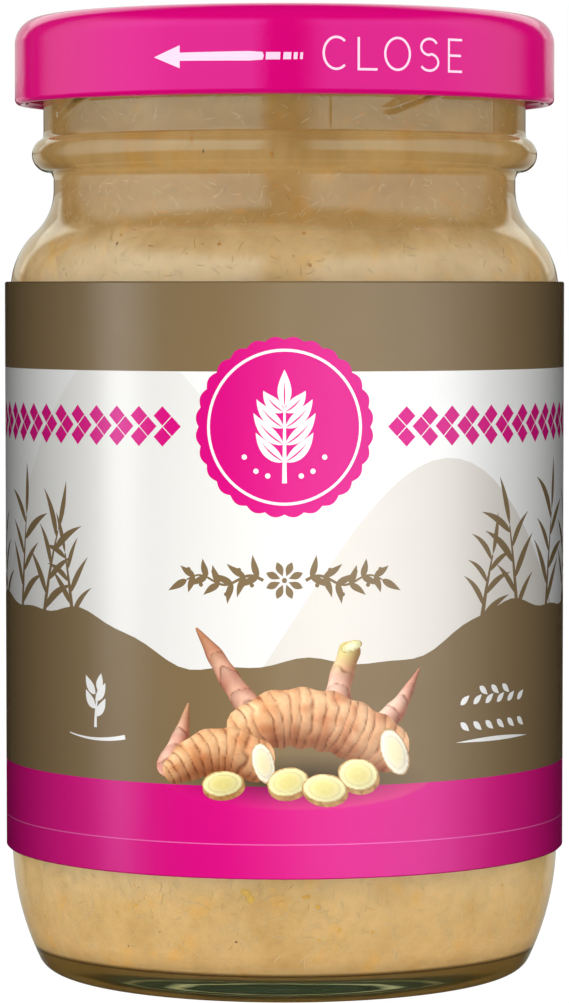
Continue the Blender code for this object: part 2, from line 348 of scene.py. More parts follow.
# Linear colours
WHITE = (1.0, 1.0, 1.0, 1.0)
PINK_GLOSS = (0.7, 0.45, 1.0, 1.0)
LACQUER_GLOSS = (0.45, 0.165, 0.66, 1.0)

# The label's inks: name, material, displayed colour and tint of the gloss
INKS = (("paper", "label_paper", (250, 250, 248), WHITE),
        ("far_hill", "ink_far_hill", (241, 240, 236), WHITE),
        ("near_hill", "ink_near_hill", (229, 224, 216), WHITE),
        ("olive", "ink_olive", INK_OLIVE, WHITE),
        ("pink", "ink_pink", INK_PINK, PINK_GLOSS),
        ("light_pink", "ink_light_pink", (240, 110, 180), PINK_GLOSS),
        ("picture", "ink_picture", PASTE_BEIGE, WHITE))

# Ramps, as (position, red, green, blue): displayed tones, then linear tints that multiply them.
# A position of 1 is the rim's height for the paste's tones, one and a half floor heights for the
# painted shade at the paste's foot, and UNDERSIDE_RADIUS for the painted shade and glints on the
# paste's bottom, which colour the paste up to UNDERSIDE_DEPTH over the floor.
FOOT_SHADE_TOP_Z = 1.5 * FLOOR_Z
UNDERSIDE_RADIUS = 20.0
UNDERSIDE_DEPTH = 0.03
PASTE_TONES = ((0.02, 203, 163, 108), (0.07, 206, 166, 109), (0.13, 223, 184, 128),
               (0.70, 212, 174, 124), (0.76, 202, 167, 121), (0.775, 196, 160, 113),
               (0.79, 166, 128, 76), (0.83, 163, 124, 73), (0.86, 174, 135, 81),
               (0.873, 172, 134, 82), (0.89, 155, 115, 61), (0.92, 180, 140, 82))
GASKET_TONES = ((0.35, 222, 217, 203), (0.65, 238, 235, 225))
CLOUD = ((0.30, 0.91, 0.87, 0.79), (0.5, 1.0, 1.0, 1.0), (0.72, 1.06, 1.06, 1.10))
WARMTH = ((0.57, 1.0, 1.0, 1.0), (0.70, 1.07, 0.97, 0.74))
PULP = ((0.34, 0.95, 0.94, 0.91), (0.5, 1.0, 1.0, 1.0), (0.68, 1.04, 1.04, 1.03))
# Painted shade: the paste goes nearly black just above the floor, where it meets the glass
FOOT_SHADE = ((0.682, 0.08, 0.06, 0.03), (0.72, 0.50, 0.44, 0.34), (0.76, 1.0, 1.0, 1.0))
# Painted shade and painted glints on the paste's flat bottom: dark in the middle and brownish
# outward, with two bright rings that stand for the sparkle of the glass base seen through it
UNDERSIDE_SHADE_AND_GLINTS = ((0.38, 0.02, 0.045, 0.01), (0.43, 1.1, 1.5, 1.9), (0.48, 0.03, 0.05, 0.015),
             (0.58, 0.035, 0.055, 0.02), (0.62, 0.45, 0.55, 0.5), (0.65, 0.07, 0.08, 0.035),
             (0.76, 0.12, 0.10, 0.04), (0.88, 0.38, 0.31, 0.13))
MOIST = {"Roughness": 0.5, "IOR": 1.36, "Subsurface Weight": 0.35,
         "Subsurface Radius": (1.0, 0.6, 0.3), "Subsurface Scale": 0.0012}


def linear_light(shown):
    """Displayed values from 0 to 1 as the linear ones that materials take."""
    return np.where(shown <= 0.04045, shown / 12.92, ((shown + 0.055) / 1.055) ** 2.4)


def display_colour(shades):
    """A displayed colour, 0 to 255, as a linear one."""
    return (*linear_light(np.array(shades) / 255).tolist(), 1.0)


def place(radius, degrees, z):
    """A point round the jar, in metres."""
    angle = math.radians(degrees)
    return (radius * math.sin(angle) * MM, -radius * math.cos(angle) * MM, z * MM)


def new_object(name, data):
    made = bpy.data.objects.new(name, data)
    bpy.context.scene.collection.objects.link(made)
    return made


def mesh_object(name, corners, faces, finishes, face_finish=None):
    """A smooth-shaded mesh from corners in metres, with a finish chosen for each face."""
    mesh = bpy.data.meshes.new(name)
    mesh.from_pydata(corners, [], faces)
    for finish in finishes:
        mesh.materials.append(finish)
    mesh.polygons.foreach_set("use_smooth", [True] * len(mesh.polygons))
    if face_finish is not None:
        mesh.polygons.foreach_set("material_index", face_finish)
    mesh.update()
    return new_object(name, mesh)


def even_shares(steps):
    return [step / steps for step in range(steps + 1)]


def with_neighbours(line):
    """Each point of an open line between the one before it and the one after it."""
    return zip(line[:1] + line[:-1], line, line[1:] + line[-1:])


def arc(centre_r, centre_z, radius, start, end, steps, rise=None):
    """Points of an arc from start to end in degrees, which is oval where it has its own rise."""
    points = []
    for step in range(steps + 1):
        angle = math.radians(start + (end - start) * step / steps)
        points.append((centre_r + radius * math.cos(angle),
                       centre_z + (rise or radius) * math.sin(angle)))
    return points


def shoulder(top_r, top_z, bottom_r, upper_arc, lower_arc, steps):
    """Two arcs that flow into each other, from the throat out and down to the body's wall."""
    sweep = math.degrees(math.acos(1 - (bottom_r - top_r) / (upper_arc + lower_arc)))
    upper = arc(top_r + upper_arc, top_z, upper_arc, 180, 180 + sweep, steps)
    drop = (upper_arc + lower_arc) * math.sin(math.radians(sweep))
    lower = arc(bottom_r - lower_arc, top_z - drop, lower_arc, sweep, 0, steps)
    return upper + lower[1:]


def filled_in(profile, longest):
    """The profile with points added, so that no stretch is longer than that."""
    points = [profile[0]]
    for start, end in zip(profile, profile[1:]):
        pieces = max(1, math.ceil(math.dist(start, end) / longest))
        for step in range(1, pieces + 1):
            share = step / pieces
            points.append((start[0] + (end[0] - start[0]) * share,
                           start[1] + (end[1] - start[1]) * share))
    return points


def even_angles(columns, extra=(), spread=()):
    """Angles round the jar from -180, with a few more set close about each extra angle."""
    angles = [-180 + 360 * column / columns for column in range(columns)]
    for centre in extra:
        for offset in spread:
            angles.append((centre + offset + 180) % 360 - 180)
    return sorted(set(round(angle, 4) for angle in angles))


def without_repeats(faces):
    """The faces without corners that they name twice, and without those that become lines."""
    faces = [list(dict.fromkeys(face)) for face in faces]
    return [face for face in faces if len(face) > 2]


def band_faces(pairs):
    """Faces between pairs of closed rings of corners. A ring may be one corner repeated."""
    faces = []
    for first, second in pairs:
        faces += zip(first, first[1:] + first[:1], second[1:] + second[:1], second)
    return without_repeats(faces)


def revolve(profile, angles, closed=False, moved=None, open_after=None):
    """Corners in metres and faces of a turned shape. A point on the axis becomes one corner.

    The profile runs so that the solid lies on its left, up its outside. moved(r, z, degrees) may
    shift a point, and no faces are made between the point open_after and the next one.
    """
    rings = []
    corners = []
    for r, z in profile:
        if r < ON_AXIS:
            rings.append([len(corners)] * len(angles))
            corners.append((0.0, 0.0, z * MM))
            continue
        ring = []
        for degrees in angles:
            new_r, new_z = moved(r, z, degrees) if moved else (r, z)
            ring.append(len(corners))
            corners.append(place(new_r, degrees, new_z))
        rings.append(ring)
    pairs = list(zip(rings, rings[1:]))
    if closed:
        pairs.append((rings[-1], rings[0]))
    if open_after is not None:
        del pairs[open_after]
    return corners, band_faces(pairs)


def smooth_share(low, high, value):
    """0 below low, 1 above high, and a smooth step between."""
    share = min(1.0, max(0.0, (value - low) / (high - low)))
    return share * share * (3 - 2 * share)


# Materials

class NodeMaker:
    """Adds nodes to one tree with their settings and inputs in one call."""

    def __init__(self, tree):
        self.tree = tree
        tree.nodes.clear()

    def add(self, kind, inputs=None, **settings):
        """A new node, whose inputs are values or other nodes' outputs."""
        node = self.tree.nodes.new(kind)
        for setting, value in settings.items():
            setattr(node, setting, value)
        for socket, value in (inputs or {}).items():
            if isinstance(value, bpy.types.NodeSocket):
                self.tree.links.new(value, node.inputs[socket])
            else:
                node.inputs[socket].default_value = value
        return node

    def take(self, kind, inputs=None, output=0, **settings):
        """One output of a new node."""
        return self.add(kind, inputs, **settings).outputs[output]

    def finish(self, **sockets):
        self.add("ShaderNodeOutputMaterial", sockets)

    def coat(self, inputs):
        """Ends the tree with one principled surface."""
        self.finish(Surface=self.take("ShaderNodeBsdfPrincipled", inputs))

    def point(self):
        return self.take("ShaderNodeTexCoord", output="Object")

    def split(self, vector):
        return self.add("ShaderNodeSeparateXYZ", {"Vector": vector}).outputs

    def maths(self, operation, *values):
        return self.take("ShaderNodeMath", dict(enumerate(values)), operation=operation)

    def product(self, first, second):
        return self.maths("MULTIPLY", first, second)

    def from_axis(self, x, y):
        return self.maths("SQRT", self.maths("ADD", self.product(x, x), self.product(y, y)))

    def noise(self, vector, scale, detail=2.0, roughness=0.5):
        return self.take("ShaderNodeTexNoise", {"Vector": vector, "Scale": scale, "Detail": detail,
                                                "Roughness": roughness}, "Fac")

    def bump(self, strength, distance, height):
        return self.take("ShaderNodeBump", {"Strength": strength, "Distance": distance,
                                            "Height": height})

    def mix(self, share, first, second, blend="MIX"):
        return self.take("ShaderNodeMix", {0: share, 6: first, 7: second}, 2,
                         data_type="RGBA", blend_type=blend)

    def ramp(self, value, stops):
        node = self.add("ShaderNodeValToRGB", {"Fac": value})
        elements = node.color_ramp.elements
        while len(elements) < len(stops):
            elements.new(0.5)
        for element, (position, *colour) in zip(elements, stops):
            element.position = position
            element.color = (*colour, 1.0)
        return node.outputs["Color"]

    def tones(self, value, stops):
        """A ramp of displayed colours."""
        return self.ramp(value, [(spot, *display_colour(shade)[:3]) for spot, *shade in stops])

    def remap(self, value, low, high, to_low=0.0, to_high=1.0, curve="SMOOTHSTEP"):
        return self.take("ShaderNodeMapRange", {
            "Value": value, "From Min": low, "From Max": high, "To Min": to_low,
            "To Max": to_high}, interpolation_type=curve)

    def window(self, value, low, high, soft):
        """1 where the value is between low and high, with soft edges."""
        return self.product(self.remap(value, low - soft, low + soft),
                            self.remap(value, high + soft, high - soft))


def new_material(name, colour):
    made = bpy.data.materials.new(name)
    made.use_nodes = True
    made.diffuse_color = colour
    return made, NodeMaker(made.node_tree)


def glass_material():
    """Clear glass with a faint green in its depth. Lamps light what is behind it."""
    made, nodes = new_material("jar_glass", (0.85, 0.9, 0.85, 0.3))
    point = nodes.point()
    x, y, z = nodes.split(point)
    under = nodes.window(z, -1.0 * MM, (PUSH_UP + 0.1) * MM, 0.05 * MM)
    inside_ring = nodes.window(nodes.from_axis(x, y), -1.0, FOOT_RING_INNER_RADIUS * MM, 0.3 * MM)
    grain = nodes.product(nodes.noise(point, 1400.0), nodes.product(under, inside_ring))
    glass = nodes.take("ShaderNodeBsdfPrincipled", {
        "Base Color": (0.985, 0.995, 0.985, 1.0), "Roughness": 0.0, "IOR": 1.5,
        "Transmission Weight": 1.0, "Normal": nodes.bump(0.3, 0.0005, grain)})
    clear = nodes.take("ShaderNodeBsdfTransparent", {"Color": (0.97, 0.98, 0.97, 1.0)})
    path = nodes.add("ShaderNodeLightPath").outputs
    passing = nodes.maths("MAXIMUM", path["Is Shadow Ray"], path["Is Diffuse Ray"])
    nodes.finish(
        Surface=nodes.take("ShaderNodeMixShader", {0: passing, 1: glass, 2: clear}),
        Volume=nodes.take("ShaderNodeVolumeAbsorption", {"Color": (0.55, 0.80, 0.50, 1.0),
                                                         "Density": 22.0}))
    return made


def paste_material():
    """Moist beige paste: cloudy and warm patches, fine pulp, darker in the neck; painted shade at
    its foot and painted shade and glints on its flat bottom.
    """
    made, nodes = new_material("galangal_paste", display_colour(PASTE_BEIGE))
    point = nodes.point()
    x, y, height = nodes.split(point)
    wobble = nodes.product(nodes.maths("SUBTRACT", nodes.noise(point, 130.0), 0.5), 0.05)
    share = nodes.maths("ADD", nodes.maths("DIVIDE", height, RIM_Z * MM), wobble)
    out = nodes.maths("ADD", nodes.from_axis(x, y),
                      nodes.product(nodes.noise(point, 260.0), 3.0 * MM))
    # Painted shade at the paste's foot, just above the floor
    painted_foot_shade = nodes.ramp(nodes.maths("DIVIDE", height, FOOT_SHADE_TOP_Z * MM), FOOT_SHADE)
    # Painted shade and glints of the glass base, on the paste's flat bottom
    painted_underside = nodes.ramp(nodes.maths("DIVIDE", out, UNDERSIDE_RADIUS * MM), UNDERSIDE_SHADE_AND_GLINTS)
    flat = nodes.maths("LESS_THAN", height, (FLOOR_Z + UNDERSIDE_DEPTH) * MM)
    colour = nodes.tones(share, PASTE_TONES)
    for tint in (nodes.ramp(nodes.noise(point, 230.0, 3.0, 0.55), CLOUD),
                 nodes.ramp(nodes.noise(point, 330.0), WARMTH),
                 nodes.ramp(nodes.noise(point, 1100.0, 4.0, 0.6), PULP),
                 nodes.mix(flat, painted_foot_shade, painted_underside)):
        colour = nodes.mix(1.0, colour, tint, "MULTIPLY")
    relief = nodes.bump(0.2, 0.0002, nodes.noise(point, 900.0, 3.0))
    nodes.coat({"Base Color": colour, "Normal": relief, **MOIST})
    return made


def fleck_material(name, colour):
    """One tone of fibre, as moist as the paste."""
    made, nodes = new_material(name, colour)
    nodes.coat({"Base Color": colour, **MOIST})
    return made


def lacquer_material(name, colour):
    """Glossy lacquer on tinplate with the faintest orange peel."""
    made, nodes = new_material(name, colour)
    peel = nodes.bump(0.05, 0.0002, nodes.noise(nodes.point(), 900.0, 1.0))
    nodes.coat({"Base Color": colour, "Roughness": 0.1, "Specular IOR Level": 0.9, "IOR": 1.5,
                "Specular Tint": LACQUER_GLOSS, "Normal": peel})
    return made


def print_material(name, colour, tint=WHITE, painted=False):
    """Ink on satin label paper. The picture's ink reads the mesh's own painted colours."""
    made, nodes = new_material(name, colour)
    point = nodes.point()
    fibre = nodes.bump(0.06, 0.0001, nodes.noise(point, 3500.0))
    gloss = nodes.remap(nodes.noise(point, 500.0), 0.0, 1.0, 0.22, 0.28, "LINEAR")
    if painted:
        colour = nodes.take("ShaderNodeVertexColor", output="Color", layer_name="picture")
    nodes.coat({"Base Color": colour, "Roughness": gloss, "Specular IOR Level": 0.5,
                "Specular Tint": tint, "Normal": fibre})
    return made


def gasket_material():
    made, nodes = new_material("sealing_compound", display_colour(GASKET_WHITE))
    speckle = nodes.tones(nodes.noise(nodes.point(), 800.0, 3.0), GASKET_TONES)
    nodes.coat({"Base Color": speckle, "Roughness": 0.55})
    return made


# The jar

def bead_profile():
    """The ring below the thread, nearly half round, and the throat under it."""
    points = arc(BEAD_RADIUS - BEAD_HALF_HEIGHT, BEAD_Z, BEAD_HALF_HEIGHT, *BEAD_SWEEP, BEAD_STEPS)
    return points + [(THROAT_RADIUS, THROAT_TOP_Z)]


def foot_profile():
    """The heel's long curve, its small corner, the standing ring and the hollow under it."""
    fall = math.degrees(math.asin((HEEL_TOP_Z - FOOT_TOP_Z) / HEEL_ARC))
    points = arc(BODY_RADIUS - HEEL_ARC, HEEL_TOP_Z, HEEL_ARC, 0, -fall, HEEL_STEPS)
    corner_r, corner_z = points[-1]
    turn = math.radians(fall)
    corner_arc = corner_z / (1 - math.sin(turn))
    corner_centre = corner_r - corner_arc * math.cos(turn)
    points += arc(corner_centre, corner_arc, corner_arc, -fall, -90, FOOT_CORNER_STEPS)[1:]
    for inward in even_shares(PUSH_UP_STEPS):
        share = 1 - inward
        points.append((FOOT_RING_INNER_RADIUS * share, PUSH_UP * (1 - share * share)))
    return points


def inside_profile(offset):
    """The jar's inside from the floor's centre up to the throat, drawn in by an offset."""
    wall_r = BODY_RADIUS - BODY_WALL
    bore_r = NECK_RADIUS - NECK_WALL
    corner = FLOOR_ARC - offset
    points = [(0.0, FLOOR_Z + offset)]
    points += arc(wall_r - FLOOR_ARC, FLOOR_Z + FLOOR_ARC, corner, -90, 0, INSIDE_STEPS)
    rise = shoulder(bore_r - offset, INNER_SHOULDER_TOP_Z, wall_r - offset,
                    INNER_SHOULDER_UPPER_ARC, INNER_SHOULDER_LOWER_ARC, INSIDE_STEPS)
    points += rise[::-1]
    return points


def ripple(z, degrees):
    """The slight unevenness of the blown inside wall."""
    angle = math.radians(degrees)
    waves = math.sin(3 * angle + 0.11 * z) + 0.6 * math.sin(7 * angle - 0.23 * z + 1.0)
    waves += 0.5 * math.sin(0.35 * z + 2 * angle)
    rise = smooth_share(FLOOR_Z + 2, FLOOR_Z + 8, z) * (1 - smooth_share(RIM_Z - 3, RIM_Z - 1, z))
    return RIPPLE * waves * rise


def ramp_relief(z, degrees):
    """How far the thread's four ramps stand out of the neck at a point."""
    seat_z = LID_LOWER_Z + LUG_HEIGHT + LUG_CLEARANCE
    first = -RAMP_SEAT_BEFORE - RAMP_RUN_OUT
    middle = (first + RAMP_SEAT_AFTER) / 2
    most = 0.0
    for start in range(STARTS):
        turn = degrees - 90 - LUG_ANGLE - start * 360 / STARTS
        turn = (turn - middle + 180) % 360 - 180 + middle
        to_end = min(RAMP_START_SLOPE * (turn - first), RAMP_SEAT_AFTER - turn)
        if to_end <= 0:
            continue
        low = seat_z + turn / 360 * LEAD
        past = -RAMP_SEAT_BEFORE - turn
        if past > 0:
            low -= RAMP_RUN_OUT_DROP * (past / RAMP_RUN_OUT) ** 1.5
        high = low + RAMP_HEIGHT
        under = smooth_share(low + RAMP_UNDER[0], low + RAMP_UNDER[1], z)
        over = smooth_share(high - RAMP_UPPER[0], high - RAMP_UPPER[1], z)
        height = RAMP_REACH * min(1.0, to_end / RAMP_TAPER + RAMP_END_SHARE)
        most = max(most, height * under * over)
    return most


def seam_relief(degrees):
    """The fine ridges that the neck mould's joints leave."""
    nearest = min(abs((degrees - seam + 180) % 360 - 180) for seam in SEAM_ANGLES)
    across = math.radians(nearest) * NECK_RADIUS
    return SEAM_RISE * math.exp(-(across / SEAM_WIDTH) ** 2)


def build_glass():
    bore_r = NECK_RADIUS - NECK_WALL
    inner = filled_in(inside_profile(0.0)[1:], INSIDE_STRETCH)
    rim = arc(bore_r + RIM_INNER_CORNER, RIM_Z - RIM_INNER_CORNER, RIM_INNER_CORNER,
              180, 90, RIM_STEPS[0])
    rim += arc(NECK_RADIUS - RIM_OUTER_CORNER, RIM_Z - RIM_OUTER_CORNER, RIM_OUTER_CORNER,
               90, 0, RIM_STEPS[1])
    bead = bead_profile()
    neck = filled_in([rim[-1], (NECK_RADIUS, THREAD_FOOT_Z)], THREAD_STRETCH)[1:-1]
    below = filled_in([(NECK_RADIUS, THREAD_FOOT_Z), bead[0]], THROAT_STRETCH)
    outer = shoulder(THROAT_RADIUS, SHOULDER_TOP_Z, BODY_RADIUS,
                     SHOULDER_UPPER_ARC, SHOULDER_LOWER_ARC, SHOULDER_STEPS)
    foot = filled_in(foot_profile(), FOOT_STRETCH)
    profile = [(0.0, FLOOR_Z)] + inner + filled_in([inner[-1], rim[0]], BORE_STRETCH)[1:-1] + rim
    outside_from = len(profile)
    profile += neck + below + bead[1:]
    profile += filled_in([bead[-1], outer[0]], THROAT_STRETCH)[1:-1] + outer
    profile += filled_in([outer[-1], foot[0]], WALL_STRETCH)[1:-1] + foot
    outside = set(profile[outside_from:])

    def moved(r, z, degrees):
        if (r, z) not in outside:
            return r + ripple(z, degrees) * (r > bore_r - 1), z
        if BEAD_Z < z < RIM_Z - RIM_OUTER_CORNER and abs(r - NECK_RADIUS) < 0.01:
            return r + max(ramp_relief(z, degrees), seam_relief(degrees)), z
        return r, z

    angles = even_angles(GLASS_COLUMNS, SEAM_ANGLES, SEAM_COLUMNS)
    corners, faces = revolve(profile[::-1], angles, moved=moved)
    glass = mesh_object("jar_glass", corners, faces, [glass_material()])
    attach(glass, "jar")
    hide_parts("glass_jar")


def build_paste():
    """The filling, wetted to the glass all round, with a lumpy top under the headspace."""
    wall = filled_in(inside_profile(-WETTING)[1:], PASTE_WALL_STRETCH)
    bore_r = NECK_RADIUS - NECK_WALL + WETTING
    wall = [(r, z) for r, z in wall if z < INNER_SHOULDER_TOP_Z + 0.01]
    wall += filled_in([wall[-1], (bore_r, PASTE_TOP_Z)], PASTE_NECK_STRETCH)[1:]
    top = [(bore_r * (1 - share), PASTE_TOP_Z) for share in even_shares(PASTE_TOP_RINGS)[1:]]

    def moved(r, z, degrees):
        if z < PASTE_TOP_Z:
            return r + ripple(z, degrees), z
        angle = math.radians(degrees)
        x, y = r * math.sin(angle), r * math.cos(angle)
        lump = math.sin(0.42 * x + 1) * math.cos(0.37 * y) + 0.5 * math.sin(0.9 * x - 0.7 * y)
        return r, z + PASTE_LUMP * (lump - 0.6)

    profile = [(0.0, FLOOR_Z - WETTING)] + wall + top
    corners, faces = revolve(profile, even_angles(PASTE_COLUMNS), moved=moved)
    paste = mesh_object("paste_fill", corners, faces, [paste_material()])
    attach(paste, "jar")
    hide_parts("paste")


def strand(length, half, heading, bend):
    """A thin bent strand with three sides and pointed ends, in (along, up, out)."""
    line = bent_line((0.0, 0.0), heading, length, bend, STRAND_STEPS)
    corners = [(line[0][0], line[0][1], 0.0)]
    for x, y, angle in line[1:-1]:
        side = (-math.sin(angle) * half, math.cos(angle) * half)
        corners += [(x + side[0], y + side[1], -0.1 * half), (x, y, 0.4 * half),
                    (x - side[0], y - side[1], -0.1 * half)]
    corners.append((line[-1][0], line[-1][1], 0.0))
    last = len(corners) - 1
    faces = []
    for a, b in ((0, 1), (1, 2), (2, 0)):
        faces.append([0, 1 + b, 1 + a])
        faces.append([last, last - 3 + a, last - 3 + b])
        for ring in range(1, last - 3, 3):
            faces.append([ring + a, ring + b, ring + 3 + b, ring + 3 + a])
    return corners, faces


def speck(half_width, half_height, draw):
    """A flat crumb with an uneven outline, in (along, up, out)."""
    rise = 0.12 * half_height
    corners = [(0.0, 0.0, rise), (0.0, 0.0, -rise)]
    for side in range(SPECK_SIDES):
        angle = 2 * math.pi * side / SPECK_SIDES
        reach = draw.uniform(*SPECK_REACHES)
        corners.append((half_width * reach * math.cos(angle),
                        half_height * reach * math.sin(angle), -0.2 * rise))
    faces = []
    for side in range(SPECK_SIDES):
        a, b = 2 + side, 2 + (side + 1) % SPECK_SIDES
        faces += [[0, a, b], [1, b, a]]
    return corners, faces


def build_flecks():
    """Root fibres and specks, half sunk in the paste where the label leaves the glass clear."""
    wall = inside_profile(-WETTING)[1:]
    heights = [z for r, z in wall] + [PASTE_TOP_Z]
    radii = [r for r, z in wall] + [wall[-1][0]]
    corners, faces, finishes = [], [], []

    def sink(shape, degrees, z, finish):
        base = len(corners)
        for along, up, out in shape[0]:
            level = float(np.interp(z + up, heights, radii))
            turn = degrees + math.degrees(along / level)
            corners.append(place(level + ripple(z + up, turn) + out, turn, z + up))
        for face in shape[1]:
            faces.append([base + corner for corner in face])
            finishes.append(finish)

    draw = random.Random(FLECK_SEED)
    for finish, (_, _, band, count, half, length) in enumerate(FLECKS):
        for _ in range(count):
            degrees, z = draw.uniform(-180, 180), draw.uniform(*band)
            if length and BEAD_BAND[0] < z < BEAD_BAND[1]:
                continue
            if length:
                shape = strand(length * draw.uniform(*STRAND_LENGTHS),
                               half * draw.uniform(*STRAND_WIDTHS),
                               draw.uniform(0, 360), draw.uniform(*STRAND_BENDS))
            else:
                wide = half * draw.uniform(*SPECK_WIDTHS)
                shape = speck(wide, wide * draw.uniform(*SPECK_HEIGHTS), draw)
            sink(shape, degrees, z, finish)
    kinds = [row[0] for row in FLECKS]
    for name, degrees, z, half_width, half_height in PLACED_SPECKS:
        sink(speck(half_width, half_height, draw), degrees, z, kinds.index(name))
    looks = [fleck_material(name, display_colour(colour)) for name, colour, *_ in FLECKS]
    flecks = mesh_object("paste_flecks", corners, faces, looks, finishes)
    flecks.data.set_sharp_from_angle(angle=math.radians(FLECK_CREASE))
    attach(flecks, "jar")


# Flat artwork, drawn as outlines in (along, up)

def oval(centre, half_width, half_height, steps, tilt=0.0):
    turn = math.radians(tilt)
    points = []
    for step in range(steps):
        angle = 2 * math.pi * step / steps
        x = half_width * math.cos(angle)
        y = half_height * math.sin(angle)
        points.append((centre[0] + x * math.cos(turn) - y * math.sin(turn),
                       centre[1] + x * math.sin(turn) + y * math.cos(turn)))
    return points


def scalloped(centre, radius, rise, lobes):
    points = []
    steps = lobes * SCALLOP_STEPS
    for step in range(steps):
        angle = 2 * math.pi * step / steps
        reach = radius + rise * abs(math.sin(lobes * angle / 2))
        points.append((centre[0] + reach * math.cos(angle), centre[1] + reach * math.sin(angle)))
    return points


def bent_line(base, degrees, length, bend, steps):
    """Points and directions along a line that turns evenly by that many degrees."""
    x, y = base
    line = [(x, y, math.radians(degrees))]
    for step in range(steps):
        angle = math.radians(degrees + bend * (step + 0.5) / steps)
        x += length / steps * math.cos(angle)
        y += length / steps * math.sin(angle)
        line.append((x, y, math.radians(degrees + bend * (step + 1) / steps)))
    return line


def spaced(points, least):
    """The points of a closed outline that are farther than that from the one before them."""
    return [spot for before, spot in zip(points[-1:] + points[:-1], points)
            if math.dist(spot, before) > least]


def outline_along(line, half_widths):
    """The outline of a stroke along a line of (x, y, direction), pointed where its width is 0."""
    left = []
    right = []
    for (x, y, angle), half in zip(line, half_widths):
        across = (-math.sin(angle) * half, math.cos(angle) * half)
        left.append((x + across[0], y + across[1]))
        right.append((x - across[0], y - across[1]))
    return spaced(right + left[::-1], LEAST_STRETCH)


def blade(base, degrees, length, width, bend, steps=8, fullness=0.8):
    """A lance-shaped leaf."""
    halves = [width / 2 * math.sin(math.pi * share ** fullness) for share in even_shares(steps)]
    halves[0] = halves[-1] = 0.0
    return outline_along(bent_line(base, degrees, length, bend, steps), halves)


def stroke(base, degrees, length, start_width, end_width, bend=0.0):
    steps = 12
    halves = [(start_width + (end_width - start_width) * step / steps) / 2
              for step in range(steps + 1)]
    return outline_along(bent_line(base, degrees, length, bend, steps), halves)


def shoot(base, height, lean, leaf_length, draw):
    """A leafy stem as seen against the light: a thin stalk with lance leaves on both sides."""
    line = bent_line(base, 90 - lean, height, -lean * 1.2, SHOOT_STEPS)
    outlines = [outline_along(line, [0.34 * (1 - 0.75 * step / SHOOT_STEPS)
                                     for step in range(SHOOT_STEPS + 1)])]
    side = 1
    for x, y, angle in line[3::2]:
        side = -side
        spread = draw.uniform(*SHOOT_LEAF_SPREADS)
        size = leaf_length * draw.uniform(*SHOOT_LEAF_SIZES)
        outlines.append(blade((x, y), math.degrees(angle) + side * spread, size, size * 0.15,
                              side * draw.uniform(*SHOOT_LEAF_BENDS), 10, 0.7))
    x, y, angle = line[-1]
    outlines.append(blade((x, y), math.degrees(angle), leaf_length, leaf_length * 0.14, 14))
    return outlines


def hill_outline(middle, half_width, height):
    points = [(middle - half_width, STRIPE_TOP_Z)]
    for share in even_shares(40):
        rise = math.sin(math.pi * share) ** 1.6
        rise += 0.05 * math.sin(9 * share + middle) * math.sin(math.pi * share)
        points.append((middle - half_width + 2 * half_width * share,
                       STRIPE_TOP_Z + 0.01 + height * rise))
    return points + [(middle + half_width, STRIPE_TOP_Z)]


def ground_outline(reach):
    """The wavy ground across the label's foot, lowest in front."""
    points = [(-reach, STRIPE_TOP_Z)]
    steps = 150
    for step in range(steps + 1):
        x = -reach + 2 * reach * step / steps
        rise = GROUND_RISE * smooth_share(7, 24, abs(x))
        rise += 0.5 * math.sin(0.31 * x + 0.7) + 0.22 * math.sin(0.83 * x)
        points.append((x, GROUND_TOP_Z + rise))
    return points + [(reach, STRIPE_TOP_Z)]


def medallion():
    """A scalloped disc with a ring and a sprig of leaves."""
    x, y = centre = (0.0, BORDER_Z)
    ring, disc = MEDALLION_RADIUS - 1.1, MEDALLION_RADIUS - 1.36
    shapes = [(scalloped(centre, MEDALLION_RADIUS - 0.3, 0.3, 28), "pink"),
              (oval(centre, ring, ring, 72), "paper"), (oval(centre, disc, disc, 72), "pink"),
              (stroke((x, y - 5.0), 90, 7.2, 0.42, 0.18), "paper")]
    for rise, length in SPRIG_LEAVES:
        for side in (-1, 1):
            base, angle = (x + 0.05 * side, y + rise), 90 - side * 62
            shapes += [(blade(base, angle, length, 1.2, side * 36, 12), "paper"),
                       (blade(base, angle, length * 0.74, 0.14, side * 27, 8), "pink")]
    shapes += [(blade((x, y + 1.75), 90, 3.4, 1.25, 0, 12), "paper"),
               (blade((x, y + 1.85), 90, 2.3, 0.13, 0, 8), "pink")]
    for side in (-1, 1):
        for step in range(3):
            dot = (x + side * (1.5 + 1.05 * step), y - 4.35 + 0.42 * step * step)
            shapes.append((oval(dot, 0.24, 0.24, 14), "paper"))
    return shapes


def border(reach):
    """Rows of three small lozenges that point towards the medallion from both sides."""
    shapes = []
    half = LOZENGE_HALF
    start = BORDER_START
    while start < reach - 2:
        for side in (-1, 1):
            for dx, dy in ((0.0, LOZENGE_STEP), (0.0, -LOZENGE_STEP), (-LOZENGE_STEP, 0.0)):
                x, y = side * (start + dx), BORDER_Z + dy
                shapes.append(([(x + half, y), (x, y + half), (x - half, y), (x, y - half)],
                               "pink"))
        start += BORDER_PITCH
    return shapes


